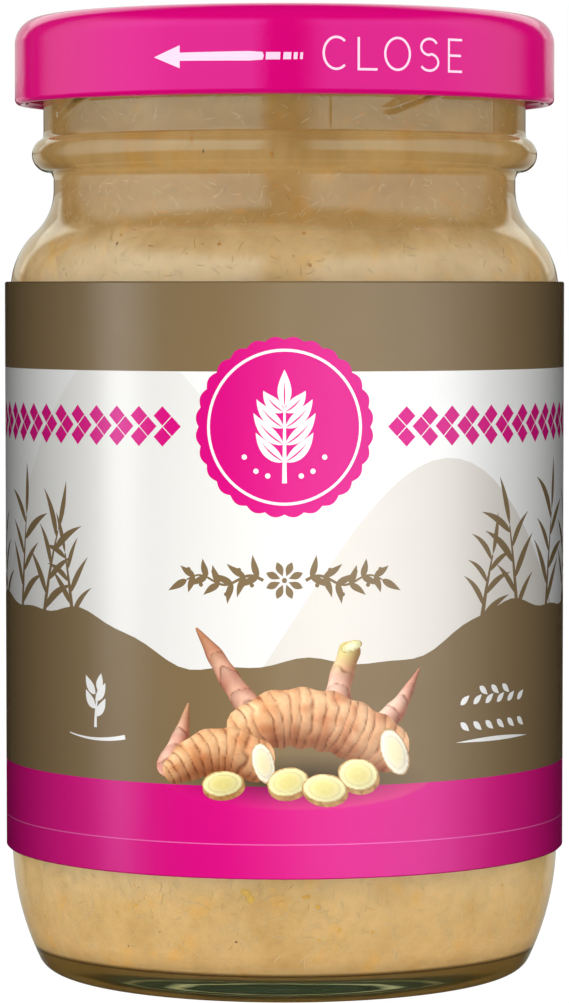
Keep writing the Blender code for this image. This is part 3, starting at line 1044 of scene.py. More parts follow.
def garland():
    """A leafy branch on both sides of a small flower, in place of a title."""
    outlines = []
    steps = 48
    for side in (-1, 1):
        line = [(side * (1.9 + (GARLAND_HALF - 3.9) * share),
                 GARLAND_Z + 0.42 * math.sin(share * 3 * math.pi)) for share in even_shares(steps)]
        directed = [(x, y, math.atan2(ahead[1] - behind[1], ahead[0] - behind[0]))
                    for behind, (x, y), ahead in with_neighbours(line)]
        outlines.append(outline_along(directed, [0.15 * (1 - 0.5 * share)
                                                 for share in even_shares(steps)]))
        for turn, index in enumerate(range(3, steps, 8)):
            x, y, angle = directed[index]
            for up in (-1, 1):
                outlines.append(blade((x, y), math.degrees(angle) + up * 40, 2.15 - 0.1 * turn,
                                      0.62, up * 22, 10, 0.7))
            x, y, angle = directed[min(index + 4, steps)]
            outlines.append(oval((x, y + (0.85 if turn % 2 else -0.85)), 0.2, 0.2, 12))
        x, y, angle = directed[-1]
        outlines.append(blade((x, y), math.degrees(angle), 2.1, 0.66, 0, 10, 0.7))
    for petal in range(8):
        angle = 22.5 + 45 * petal
        base = (0.38 * math.cos(math.radians(angle)),
                GARLAND_Z + 0.38 * math.sin(math.radians(angle)))
        outlines.append(blade(base, angle, 1.4, 0.66, 0, 8, 1.2))
    outlines.append(oval((0.0, GARLAND_Z), 0.24, 0.24, 16))
    return [(outline, "olive") for outline in outlines]


def ornaments():
    """Two small white marks on the ground: a sprig over a curl, and rows of leaves over a line."""
    x, y = LEFT_MARK
    outlines = [stroke((x, y - 1.6), 90, 3.6, 0.34, 0.14, -12)]
    for rise, side in ((-0.6, 1), (0.1, -1), (0.8, 1), (1.4, -1)):
        outlines.append(blade((x, y + rise), 90 - side * 48, 2.1, 0.85, side * 26, 8))
    outlines += [blade((x + 0.35, y + 1.7), 78, 1.7, 0.8, 0, 8),
                 stroke((x - 3.4, y - 2.3), -12, 6.9, 0.1, 0.42, 24)]
    x, y = RIGHT_MARK
    for rise, count, angle in ((2.3, 3, -38), (0.7, 6, 38), (-0.9, 6, -38)):
        for index in range(count):
            spot = (x + (index - (count - 1) / 2) * 1.55 - 0.5, y + rise)
            outlines.append(blade(spot, angle, 1.35, 0.6, 0, 8))
    outlines.append(blade((x - 4.9, y - 2.7), 2, 10.0, 0.42, -4, 14, 1.0))
    return [(outline, "paper") for outline in outlines]


def label_shapes(reach, low, high):
    """Every flat shape of the label from the ground up, as (outline, ink)."""
    shapes = [(hill_outline(middle, half_width, height), ink)
              for middle, half_width, height, ink in HILLS]
    draw = random.Random(SHOOT_SEED)
    for x, height, lean, leaf in SHOOTS:
        for outline in shoot((x, GROUND_TOP_Z + GROUND_RISE - 2.5), height, lean, leaf, draw):
            shapes.append((outline, "olive"))
    shapes.append((ground_outline(reach), "olive"))
    for bottom, top, ink in ((BAND_LOW_Z, high, "olive"), (low, STRIPE_TOP_Z, "pink"),
                             (KEYLINE_Z, KEYLINE_Z + KEYLINE_HEIGHT, "light_pink")):
        shapes.append(([(-reach, bottom), (reach, bottom), (reach, top), (-reach, top)], ink))
    return shapes + border(reach) + medallion() + garland() + ornaments()


# The picture of cut roots: shapes whose colours are painted by formula

def value_noise(x, y, seed):
    """Smooth noise between 0 and 1 on a lattice, for arrays of places."""
    column = np.floor(x)
    row = np.floor(y)
    across = x - column
    up = y - row
    across = across * across * (3 - 2 * across)
    up = up * up * (3 - 2 * up)
    per_column, per_row, per_seed, scatter = LATTICE

    def lattice(i, j):
        wave = np.sin(i * per_column + j * per_row + seed * per_seed) * scatter
        return wave - np.floor(wave)

    low = lattice(column, row) * (1 - across) + lattice(column + 1, row) * across
    high = lattice(column, row + 1) * (1 - across) + lattice(column + 1, row + 1) * across
    return low * (1 - up) + high * up


def blended(first, second, share):
    """Displayed colours mixed by an array of shares."""
    share = np.clip(share, 0, 1)[:, None]
    return np.asarray(first, float) * (1 - share) + np.asarray(second, float) * share


class Limb:
    """A rounded, ringed piece of root along a smooth line, thick in the middle or tapering."""

    def __init__(self, spots, radii, skin, dark, ring_step, seed, tip=None):
        self.skin, self.dark, self.tip = skin, dark, tip
        self.ring_step, self.seed = ring_step, seed
        shares = np.linspace(0, len(spots) - 1, 40)
        control = np.asarray(spots, float)
        self.spine = np.column_stack([self.smooth(control[:, 0], shares),
                                      self.smooth(control[:, 1], shares)])
        self.radii = np.maximum(self.smooth(np.asarray(radii, float), shares), 0.02)
        steps = np.hypot(*np.diff(self.spine, axis=0).T)
        self.lengths = np.concatenate([[0], np.cumsum(steps)])

    @staticmethod
    def smooth(values, shares):
        """A smooth curve through the values, by cubic pieces."""
        padded = np.concatenate([[2 * values[0] - values[1]], values,
                                 [2 * values[-1] - values[-2]]])
        index = np.minimum(shares.astype(int), len(values) - 2)
        t = shares - index
        a, b, c, d = (padded[index + k] for k in range(4))
        return 0.5 * (2 * b + (c - a) * t + (2 * a - 5 * b + 4 * c - d) * t ** 2
                      + (3 * b - a - 3 * c + d) * t ** 3)

    def outline(self):
        heading = np.gradient(self.spine, axis=0)
        heading /= np.hypot(*heading.T)[:, None]
        across = np.column_stack([-heading[:, 1], heading[:, 0]])
        wobble = 1 + 0.05 * np.sin(self.lengths * 2.6 + self.seed)
        reach = across * (self.radii * wobble)[:, None]
        right = self.spine - reach
        left = (self.spine + reach)[::-1]
        end = self.cap(self.spine[-1], -reach[-1], heading[-1] * self.radii[-1])
        start = self.cap(self.spine[0], reach[0], -heading[0] * self.radii[0])
        return spaced([tuple(spot) for spot in [*right, *end, *left, *start]], LIMB_STRETCH)

    @staticmethod
    def cap(centre, side, ahead):
        turns = np.linspace(0, math.pi, 9)[1:-1, None]
        return centre + side * np.cos(turns) + ahead * 0.8 * np.sin(turns)

    def paint(self, x, y):
        """Skin with rings, mottling and rounded light, at arrays of places."""
        gap = ((x[:, None] - self.spine[None, :, 0]) ** 2
               + (y[:, None] - self.spine[None, :, 1]) ** 2)
        near = np.clip(gap.argmin(axis=1), 1, len(self.spine) - 2)
        heading = self.spine[near + 1] - self.spine[near - 1]
        heading /= np.hypot(*heading.T)[:, None]
        offset = np.column_stack([x, y]) - self.spine[near]
        along = self.lengths[near] + (offset * heading).sum(axis=1)
        side = offset[:, 1] * heading[:, 0] - offset[:, 0] * heading[:, 1]
        side = np.clip(side / self.radii[near], -0.98, 0.98)
        depth = np.sqrt(1 - side ** 2)
        facing = -heading[:, 1] * side * LIGHT[0] + heading[:, 0] * side * LIGHT[1]
        facing += depth * LIGHT[2]
        patch = value_noise(x * 1.1, y * 1.1, self.seed)
        fine = value_noise(x * 4.5, y * 4.5, self.seed + 5)
        colour = blended(self.skin, self.dark, 0.75 * patch ** 2 + 0.25 * fine)
        drift = value_noise(along * 0.9, side * 0.7 + self.seed, self.seed + 2)
        bow = along / self.ring_step + 0.5 * (1 - depth) + 0.35 * patch + 0.8 * drift
        ring = bow - np.floor(bow)
        line = np.exp(-(np.minimum(ring, 1 - ring) * self.ring_step / 0.085) ** 2)
        line *= 0.12 + 0.88 * value_noise(x * 1.7, y * 1.7, self.seed + 9) ** 1.2
        colour = colour * (1 - 0.62 * line[:, None] * np.array([0.75, 1.0, 1.12]))
        colour = colour * (1.06 - 0.16 * ring)[:, None]
        if self.tip is not None:
            far = along / self.lengths[-1]
            colour = colour + (np.asarray(self.tip, float) - colour) * np.clip(
                (far - 0.55) * 2.2, 0, 0.9)[:, None]
        shade = np.clip(1 - facing, 0, 1)[:, None]
        light = 1.12 - shade * np.array([0.46, 0.60, 0.68])
        return colour * light + 60 * np.clip(facing - 0.85, 0, 1)[:, None]


class Slice:
    """A thin round cut of root: pale flesh with a finer ring and a brown rim."""

    def __init__(self, centre, half_width, half_height, tilt, flesh, heart, seed):
        self.centre, self.tilt, self.seed = centre, tilt, seed
        self.half_width, self.half_height = half_width, half_height
        self.flesh, self.heart = flesh, heart

    def outline(self):
        points = oval(self.centre, self.half_width, self.half_height, 44, self.tilt)
        wobbly = []
        for index, (x, y) in enumerate(points):
            angle = 2 * math.pi * index / len(points)
            reach = 1 + 0.025 * math.sin(3 * angle + self.seed) + 0.012 * math.sin(7 * angle)
            wobbly.append((self.centre[0] + (x - self.centre[0]) * reach,
                           self.centre[1] + (y - self.centre[1]) * reach))
        return wobbly

    def paint(self, x, y):
        turn = math.radians(self.tilt)
        dx, dy = x - self.centre[0], y - self.centre[1]
        u = (dx * math.cos(turn) + dy * math.sin(turn)) / self.half_width
        v = (dy * math.cos(turn) - dx * math.sin(turn)) / self.half_height
        out = np.hypot(u, v)
        grain = value_noise(x * 5, y * 5, self.seed)
        colour = blended(self.heart, self.flesh, (out - 0.35) * 2.2 + 0.4 * (grain - 0.5))
        ring = np.exp(-((out - 0.68) / 0.045) ** 2) * 0.10
        colour = colour * (1 - ring[:, None])
        rim = np.clip((out - 0.90) / 0.05, 0, 1) * (0.75 + 0.25 * grain)
        colour = colour + (np.asarray(RIM_BROWN, float) - colour) * rim[:, None]
        sheen = 1.02 + 0.07 * (v - u) - 0.04 * grain
        return colour * sheen[:, None]


class Plain:
    """An outline with one formula for its colours."""

    def __init__(self, points, formula):
        self.points, self.formula = points, formula

    def outline(self):
        return self.points

    def paint(self, x, y):
        return self.formula(x, y)


def soft_shadow(centre, half_width, half_height):
    """The roots' shadow on the printed ground, which fades out to the inks round it."""

    def shade(x, y):
        out = np.hypot((x - centre[0]) / half_width, (y - centre[1]) / half_height)
        ink = np.where((y > STRIPE_TOP_Z)[:, None], np.array(INK_OLIVE, float),
                       np.array(INK_PINK, float))
        return ink * (1 - 0.55 * np.clip(1 - out, 0, 1) ** 1.3)[:, None]

    return Plain(oval(centre, half_width, half_height, 48), shade)


def slice_with_edge(centre, half_width, half_height, tilt, flesh, heart, seed):
    """A slice and, under it, the skin of its cut edge."""
    low = (centre[0] + 0.12, centre[1] - 0.34)

    def skin(x, y):
        grain = value_noise(x * 4, y * 4, seed + 3)
        return blended((206, 160, 98), (150, 98, 54), grain)

    edge = Plain(oval(low, half_width * 1.01, half_height * 1.02, 44, tilt), skin)
    return [edge, Slice(centre, half_width, half_height, tilt, flesh, heart, seed)]


def picture_items():
    """The roots and slices from back to front."""
    root = ((243, 202, 154), (212, 138, 86))
    tip = ((246, 208, 184), (226, 152, 132))
    cream = ((252, 243, 218), (246, 232, 186))
    yellow = ((248, 238, 176), (234, 220, 138))
    return [
        soft_shadow((1.2, 20.80), 12.6, 2.6),
        Limb([(-2.6, 26.60), (-4.6, 29.40), (-6.4, 32.20), (-8.0, 34.40)],
             [1.25, 1.0, 0.75, 0.12], *tip, 1.9, 3, (206, 150, 110)),
        Limb([(4.6, 26.80), (5.0, 29.60), (5.9, 32.50)], [1.35, 1.1, 1.0],
             *tip, 1.7, 11, (214, 206, 120)),
        Slice((6.05, 32.85), 1.0, 0.5, 18, (226, 220, 150), (244, 240, 200), 2),
        Limb([(8.6, 25.40), (10.6, 27.40), (12.6, 30.60)], [1.2, 0.85, 0.1],
             *tip, 1.5, 21, (196, 128, 100)),
        Limb([(-3.4, 25.20), (-0.4, 26.40), (3.6, 26.20), (7.6, 24.60), (9.7, 23.50)],
             [2.2, 2.6, 2.7, 2.5, 2.3], *root, 0.95, 7),
        Slice((10.15, 23.20), 1.25, 2.3, 24, *cream, 4),
        Limb([(-10.9, 21.80), (-9.6, 24.40), (-8.8, 27.60)], [1.1, 0.85, 0.1],
             *tip, 1.5, 31, (216, 170, 130)),
        Limb([(-10.2, 21.50), (-7.8, 22.90), (-5.0, 23.40), (-2.4, 22.60)],
             [1.3, 2.0, 2.2, 1.9], *root, 0.85, 17),
        Slice((-1.9, 22.40), 1.0, 1.9, 14, *cream, 6),
        *slice_with_edge((-5.6, 20.50), 1.95, 1.15, 8, *yellow, 8),
        *slice_with_edge((6.7, 21.30), 1.9, 1.45, -10, *yellow, 12),
        *slice_with_edge((0.3, 20.70), 1.9, 1.3, 12, *yellow, 9),
        *slice_with_edge((3.6, 20.10), 2.05, 1.3, -6, *yellow, 10)]


def inside_outline(x, y, outline):
    """True for the places inside a closed outline, by counting crossings."""
    inside = np.zeros(len(x), bool)
    for (x0, y0), (x1, y1) in zip(outline, outline[1:] + outline[:1]):
        if y0 != y1:
            crossing = (y0 > y) != (y1 > y)
            inside ^= crossing & (x < (x1 - x0) * (y - y0) / (y1 - y0) + x0)
    return inside


def picture_points(outlines, columns):
    """A fine grid of places inside the painted shapes, which carries their colours.

    The strip's own columns, which cut every face, get places of their own.
    """
    spots = np.array([spot for outline in outlines for spot in outline])
    low, high = spots.min(axis=0), spots.max(axis=0)
    across = np.arange(low[0], high[0], PICTURE_STEP)
    columns = np.array(columns)
    near = np.abs(across[:, None] - columns[None, :]).min(axis=1)
    across = np.concatenate([across[near > PICTURE_STEP / 2], columns])
    across, up = np.meshgrid(across, np.arange(low[1], high[1], PICTURE_STEP))
    x, y = across.ravel(), up.ravel()
    kept = np.zeros(len(x), bool)
    for outline in outlines:
        kept |= inside_outline(x, y, outline)
    return list(zip(x[kept].tolist(), y[kept].tolist()))


def turns_left(outline):
    pairs = zip(outline, outline[1:] + outline[:1])
    return sum(x0 * y1 - x1 * y0 for (x0, y0), (x1, y1) in pairs) > 0


def cut_strip(outlines, low, high, columns, points=()):
    """Cuts a flat strip into faces along its columns and every outline.

    Returns the flat corners, the faces, and for each face the number of the last outline that
    covers it, or -1 for bare ground.
    """
    flat = []
    edges = []
    for along in columns:
        flat += [(along, low), (along, high)]
        edges.append((len(flat) - 2, len(flat) - 1))
    for column in range(len(columns) - 1):
        edges += [(2 * column, 2 * column + 2), (2 * column + 1, 2 * column + 3)]
    loops = []
    for outline in outlines:
        loops.append(list(range(len(flat), len(flat) + len(outline))))
        flat += outline if turns_left(outline) else outline[::-1]
    flat += points
    corners, _, faces, _, _, owners = delaunay_2d_cdt([Vector(spot) for spot in flat], edges,
                                                      loops, 0, CUT_TOLERANCE, True)
    top = [max(owner) if owner else -1 for owner in owners]
    return [(spot.x, spot.y) for spot in corners], [list(face) for face in faces], top


def strip_border(corners, low, high):
    """The border's corners: bottom, right, top and left, each from the left or from below."""
    left = min(x for x, y in corners)
    right = max(x for x, y in corners)
    near = 1e-3
    bottom = sorted((x, i) for i, (x, y) in enumerate(corners) if y < low + near)
    top = sorted((x, i) for i, (x, y) in enumerate(corners) if y > high - near)
    inner = [(x, y, i) for i, (x, y) in enumerate(corners) if low + near < y < high - near]
    right_side = sorted((y, i) for x, y, i in inner if x > right - near)
    left_side = sorted((y, i) for x, y, i in inner if x < left + near)
    return ([i for _, i in bottom], [i for _, i in right_side], [i for _, i in top],
            [i for _, i in left_side])


def label_sheet(corners, low, high, outer, inner):
    """Wraps the flat corners and adds the sheet's chamfered edges and its back.

    Returns corners in metres, the faces of the edges and the back, and the inks of those faces.
    """
    placed = [place(outer, math.degrees(x / outer), y) for x, y in corners]
    bottom, right, top, left = strip_border(corners, low, high)
    border_line = bottom + right + top[::-1] + left[::-1]
    lift = {i: -LABEL_EDGE for i in bottom}
    lift.update({i: LABEL_EDGE for i in top})
    edge_of, back_of = {}, {}
    for i in border_line:
        x, y = corners[i]
        degrees = math.degrees(x / outer)
        edge_of[i] = len(placed)
        placed.append(place(outer - LABEL_EDGE, degrees, y + lift.get(i, 0.0)))
        back_of[i] = len(placed)
        placed.append(place(inner, degrees, y + lift.get(i, 0.0)))
    faces = []
    inks = []
    for a, b in zip(border_line, border_line[1:] + border_line[:1]):
        faces.append([b, a, edge_of[a], edge_of[b]])
        faces.append([edge_of[b], edge_of[a], back_of[a], back_of[b]])
        if a in lift and b in lift and lift[a] == lift[b]:
            inks += ["pink" if lift[a] < 0 else "olive"] * 2
        else:
            inks += ["paper"] * 2
    for column in range(len(bottom) - 1):
        face = [bottom[column + 1], bottom[column], top[column], top[column + 1]]
        if column == 0:
            face = face[:2] + left + face[2:]
        if column == len(bottom) - 2:
            face = face + right[::-1]
        faces.append([back_of[i] for i in face])
        inks.append("paper")
    return placed, faces, inks


def set_normals(mesh, smooth_faces, normal_at):
    """Exact normals from a formula on the first faces, and each face's own on the rest."""
    normals = []
    for polygon in mesh.polygons:
        if polygon.index < smooth_faces:
            for corner in polygon.vertices:
                normals.append(normal_at(mesh.vertices[corner].co))
        else:
            normals += [tuple(polygon.normal)] * len(polygon.vertices)
    mesh.normals_split_custom_set(normals)


def outward(point):
    length = math.hypot(point.x, point.y)
    return (point.x / length, point.y / length, 0.0)


def build_label():
    """The printed sleeve: one sheet cut along every printed shape, with inks as materials."""
    low, high = LABEL_BOTTOM_Z + LABEL_EDGE, LABEL_TOP_Z - LABEL_EDGE
    reach = math.pi * LABEL_RADIUS - LABEL_BACK_GAP / 2
    count = round(math.degrees(2 * reach / LABEL_RADIUS) / LABEL_COLUMN_STEP)
    half_turn = math.degrees(reach / LABEL_RADIUS)
    columns = [math.radians(-half_turn + 2 * half_turn * column / count) * LABEL_RADIUS
               for column in range(count + 1)]
    names = [name for name, *_ in INKS]
    looks = [print_material(title, display_colour(colour), tint, name == "picture")
             for name, title, colour, tint in INKS]
    shapes = label_shapes(reach, low, high)
    items = picture_items()
    painted = [item.outline() for item in items]
    outlines = [outline for outline, _ in shapes] + painted
    flat, faces, top = cut_strip(outlines, low, high, columns, picture_points(painted, columns))
    finishes = []
    for cover in top:
        ink = "picture" if cover >= len(shapes) else shapes[cover][1] if cover >= 0 else "paper"
        finishes.append(names.index(ink))
    corners, more, more_inks = label_sheet(flat, low, high, LABEL_RADIUS,
                                           BODY_RADIUS + LABEL_GLUE_GAP)
    finishes += [names.index(ink) for ink in more_inks]
    label = mesh_object("label_sleeve", corners, faces + more, looks, finishes)
    set_normals(label.data, len(faces), outward)
    paint_picture(label.data, flat, top, items, len(shapes))
    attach(label, "jar")
    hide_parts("label")


def paint_picture(mesh, flat, top, items, first_item):
    """Writes each painted face's corner colours from the formula of its item."""
    layer = mesh.color_attributes.new("picture", "FLOAT_COLOR", "CORNER")
    shades = np.ones((len(mesh.loops), 4), np.float32)
    for number, item in enumerate(items):
        loops = []
        spots = []
        for polygon in mesh.polygons[:len(top)]:
            if top[polygon.index] == first_item + number:
                face = [flat[corner] for corner in polygon.vertices]
                middle = (sum(x for x, y in face) / len(face), sum(y for x, y in face) / len(face))
                loops += polygon.loop_indices
                spots += [(x + (middle[0] - x) * INWARD, y + (middle[1] - y) * INWARD)
                          for x, y in face]
        if loops:
            places = np.array(spots)
            shown = np.clip(item.paint(places[:, 0], places[:, 1]) / 255, 0, 1)
            shades[loops, :3] = linear_light(shown)
    layer.data.foreach_set("color", shades.ravel())


# The lid

def lid_face(top, shift, corner):
    """One face of the lid's sheet: the button, the sunk panel, the step, the ridge, the corner."""
    panel = top - LID_PANEL_DEPTH
    points = []
    for share in even_shares(LID_BUTTON_STEPS):
        dome = (math.cos(math.pi * share) + 1) / 2 * (1 - 0.25 * share)
        dome += 0.25 * (1 - share) * share
        points.append((LID_BUTTON_RADIUS * share, panel + LID_BUTTON_RISE * min(1.0, dome)))
    inner = LID_PANEL_RADIUS + shift
    outer = LID_RIDGE_INNER_RADIUS + shift
    points.append((inner - LID_BEND * 1.5, panel))
    for share in even_shares(LID_PANEL_STEPS):
        points.append((inner - LID_BEND + (outer + LID_BEND - inner) * share,
                       panel + LID_PANEL_DEPTH * smooth_share(0.0, 1.0, share)))
    return points + arc(LID_RADIUS - LID_CORNER, top - corner, corner, 90, 0, LID_CORNER_STEPS)


def lid_profile():
    """The pressed sheet from its top's middle down the outside, round the roll and back inside."""
    outside = lid_face(LID_HEIGHT, 0.0, LID_CORNER)
    inside = lid_face(LID_HEIGHT - LID_SHEET, LID_SHEET * LID_INSIDE_SHIFT,
                      LID_CORNER - LID_SHEET)
    curl = arc(LID_RADIUS - LID_CURL_RADIUS, LID_CURL_RADIUS, LID_CURL_RADIUS,
               0, LID_CURL_END, LID_CURL_STEPS)
    wall_foot = (LID_RADIUS - LID_SHEET, 2 * LID_CURL_RADIUS + LID_BEND_RISE)
    profile = outside + curl + [wall_foot] + inside[::-1]
    return [(r, z + LID_LOWER_Z) for r, z in profile], len(outside), len(curl)


def letter_lines():
    """Each letter's centre lines, in shares of its width and height, and whether they close."""
    bowl = arc(0.36, 0.5, 0.36, 48, 312, 22, 0.5)
    ring = arc(0.38, 0.5, 0.38, 0, 348, 29, 0.5)
    bends = arc(0.30, 0.745, 0.27, 25, 265, 16, 0.255)
    bends += arc(0.30, 0.265, 0.30, 75, -150, 15, 0.265)
    corner = [(0.0, 1.0), (0.0, 0.0), (0.55, 0.0)]
    frame_line = [(0.48, 1.0), (0.0, 1.0), (0.0, 0.0), (0.48, 0.0)]
    return (([bowl], False), ([corner], False), ([ring], True), ([bends], False),
            ([frame_line, [(0.0, 0.5), (0.44, 0.5)]], False))


def thick_line(points, width, closed):
    """Outlines of a stroke: one for an open line, an outer and an inner one for a closed line."""
    count = len(points)
    left, right = [], []
    for index, (x, y) in enumerate(points):
        before = points[index - 1] if index or closed else points[index]
        after = points[(index + 1) % count] if index < count - 1 or closed else points[index]
        way_in = Vector((x - before[0], y - before[1]))
        way_out = Vector((after[0] - x, after[1] - y))
        way_in = way_in.normalized() if way_in.length else way_out.normalized()
        way_out = way_out.normalized() if way_out.length else way_in
        middle = (way_in + way_out).normalized()
        reach = width / 2 / max(0.5, middle.dot(way_in))
        left.append((x - middle.y * reach, y + middle.x * reach))
        right.append((x + middle.y * reach, y - middle.x * reach))
    if closed:
        return [right, left]
    return [right + left[::-1]]


def lid_print():
    """The turning arrow and its word, as (outline, printed)."""
    y = PRINT_Z
    lower = [(x, y - half) for x, half in ARROW_SIDE]
    upper = [(x, y + half) for x, half in ARROW_SIDE[::-1]]
    shapes = [([(ARROW_TIP, y)] + lower + [(ARROW_TAIL + 0.1, y)] + upper, True)]
    for start, end, half in ARROW_DASHES:
        shapes.append(([(start, y - half), (end, y - half), (end + 0.04, y + half),
                        (start + 0.04, y + half)], True))
    for (lines, closed), left in zip(letter_lines(), LETTER_LEFTS):
        for line in lines:
            placed = [(left + u * LETTER_WIDTH, LETTER_BASE_Z + v * LETTER_HEIGHT)
                      for u, v in line]
            for order, outline in enumerate(thick_line(placed, LETTER_STROKE, closed)):
                shapes.append((outline, order == 0))
    return shapes


def profile_normals(profile):
    """Outward directions at a profile's points, for one that runs up its outside."""
    normals = []
    for before, _, after in with_neighbours(profile):
        run = (after[0] - before[0], after[1] - before[1])
        length = math.hypot(*run)
        normals.append((run[1] / length, -run[0] / length))
    return normals


def build_lid():
    """The lacquered lid: turned, with its outer wall cut along the printed arrow and word."""
    lacquer = lacquer_material("pink_lacquer", display_colour(LID_PINK))
    white = print_material("lid_print", display_colour(LID_PRINT))
    lining = lacquer_material("white_lining", display_colour(LID_LINING))
    profile, outside, curl = lid_profile()
    profile = profile[::-1]
    wall_from = len(profile) - outside - 1
    angles = even_angles(LID_COLUMNS)
    corners, faces = revolve(profile, angles, open_after=wall_from)
    inside_rings = wall_from - curl
    finishes = [LINED if min(face) // len(angles) < inside_rings else LACQUERED
                for face in faces]
    normals = []
    for (r, _), (out, up) in zip(profile, profile_normals(profile)):
        if r < ON_AXIS:
            normals.append((0.0, 0.0, math.copysign(1.0, up)))
            continue
        for degrees in angles:
            turn = math.radians(degrees)
            normals.append((out * math.sin(turn), -out * math.cos(turn), up))
    low, high = profile[wall_from][1], profile[wall_from + 1][1]
    shapes = lid_print()
    columns = [math.radians(degrees) * LID_RADIUS for degrees in angles + [180.0]]
    flat, strip, top = cut_strip([outline for outline, _ in shapes], low, high, columns)
    base = len(corners)
    corners += [place(LID_RADIUS, math.degrees(x / LID_RADIUS), y) for x, y in flat]
    normals += [outward(Vector(corner)) for corner in corners[base:]]
    faces += [[base + corner for corner in face] for face in strip]
    finishes += [PRINTED if cover >= 0 and shapes[cover][1] else LACQUERED for cover in top]
    corners, faces, normals = welded(corners, faces, normals)
    lid = mesh_object("lid_shell", corners, faces, [lacquer, white, lining], finishes)
    lid.data.normals_split_custom_set_from_vertices(normals)
    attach(lid, "lid")
    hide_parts("lid")
    build_lugs(lacquer)


def welded(corners, faces, normals):
    """Joins corners that are in the same place."""
    place_of = {}
    new_index = []
    kept = []
    for index, corner in enumerate(corners):
        key = tuple(round(value / MM, WELD_DIGITS) + 0.0 for value in corner)
        if key not in place_of:
            place_of[key] = len(kept)
            kept.append(index)
        new_index.append(place_of[key])
    return ([corners[i] for i in kept], [[new_index[i] for i in face] for face in faces],
            [normals[i] for i in kept])


def build_lugs(lacquer):
    """Four rounded tabs pressed inwards from the rolled edge."""
    corners, faces = [], []
    middle = (LUG_INNER_RADIUS + LUG_OUTER_RADIUS) / 2
    half = ((LUG_OUTER_RADIUS - LUG_INNER_RADIUS) / 2, LUG_WIDTH / 2, LUG_HEIGHT / 2)
    for start in range(STARTS):
        turn = math.radians(LUG_ANGLE + start * 360 / STARTS)
        rings = []
        for ring in range(LUG_RINGS + 1):
            tilt = math.pi * (ring / LUG_RINGS - 0.5)
            rings.append(list(range(len(corners), len(corners) + LUG_COLUMNS)))
            for column in range(LUG_COLUMNS):
                angle = 2 * math.pi * column / LUG_COLUMNS
                spot = (math.cos(tilt) * math.cos(angle), math.cos(tilt) * math.sin(angle),
                        math.sin(tilt))
                out, side, up = (math.copysign(abs(value) ** LUG_ROUNDNESS, value) * reach
                                 for value, reach in zip(spot, half))
                r = middle + out
                corners.append(((r * math.cos(turn) - side * math.sin(turn)) * MM,
                                (r * math.sin(turn) + side * math.cos(turn)) * MM,
                                (LID_LOWER_Z + half[2] + up) * MM))
        faces += band_faces(zip(rings, rings[1:]))
    corners, faces, _ = welded(corners, faces, corners)
    lugs = mesh_object("lid_lugs", corners, without_repeats(faces), [lacquer])
    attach(lugs, "lid")


def build_gasket():
    inner = round(GASKET_HIGH.x / MM - GASKET_WIDTH, 3) + GASKET_CORNER
    outer = GASKET_HIGH.x / MM - GASKET_CORNER
    low, high = GASKET_LOW.z / MM + GASKET_CORNER, GASKET_HIGH.z / MM - GASKET_CORNER
    profile = []
    for r, z, start in ((outer, low, -90), (outer, high, 0), (inner, high, 90), (inner, low, 180)):
        profile += arc(r, z, GASKET_CORNER, start, start + 90, GASKET_CORNER_STEPS)
    corners, faces = revolve(profile, even_angles(LID_COLUMNS), closed=True)
    gasket = mesh_object("gasket_ring", corners, faces, [gasket_material()])
    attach(gasket, "lid_carrier")
    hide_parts("lid_gasket")


# The studio

def hide_from(piece, *rays):
    for kind in rays:
        setattr(piece, "visible_" + kind, False)


def build_floor():
    """A white floor that fades to plain white light away from the jar."""
    corners, faces = revolve([(FLOOR_RADIUS, 0.0), (0.0, 0.0)], even_angles(FLOOR_SIDES))
    made, nodes = new_material("studio_floor", (0.95, 0.95, 0.95, 1.0))
    away = nodes.take("ShaderNodeVectorMath", {0: nodes.point()}, "Value", operation="LENGTH")
    share = nodes.remap(away, *FLOOR_FADE)
    paint = nodes.take("ShaderNodeBsdfDiffuse", {"Color": (0.9, 0.9, 0.9, 1.0)})
    white = nodes.take("ShaderNodeEmission", {"Color": WHITE, "Strength": FLOOR_GLOW})
    nodes.finish(Surface=nodes.take("ShaderNodeMixShader", {0: share, 1: paint, 2: white}))
    floor = mesh_object("studio_floor", corners, faces, [made])
    hide_from(floor, "diffuse", "glossy", "transmission", "shadow")


def build_world():
    """Plain white behind everything, for the camera alone."""
    world = bpy.data.worlds.new("studio")
    bpy.context.scene.world = world
    world.use_nodes = True
    nodes = NodeMaker(world.node_tree)
    white = nodes.take("ShaderNodeBackground", {"Color": WHITE, "Strength": 1.0})
    nodes.add("ShaderNodeOutputWorld", {"Surface": white})
    for kind in ("diffuse", "glossy", "transmission", "scatter"):
        setattr(world.cycles_visibility, kind, False)


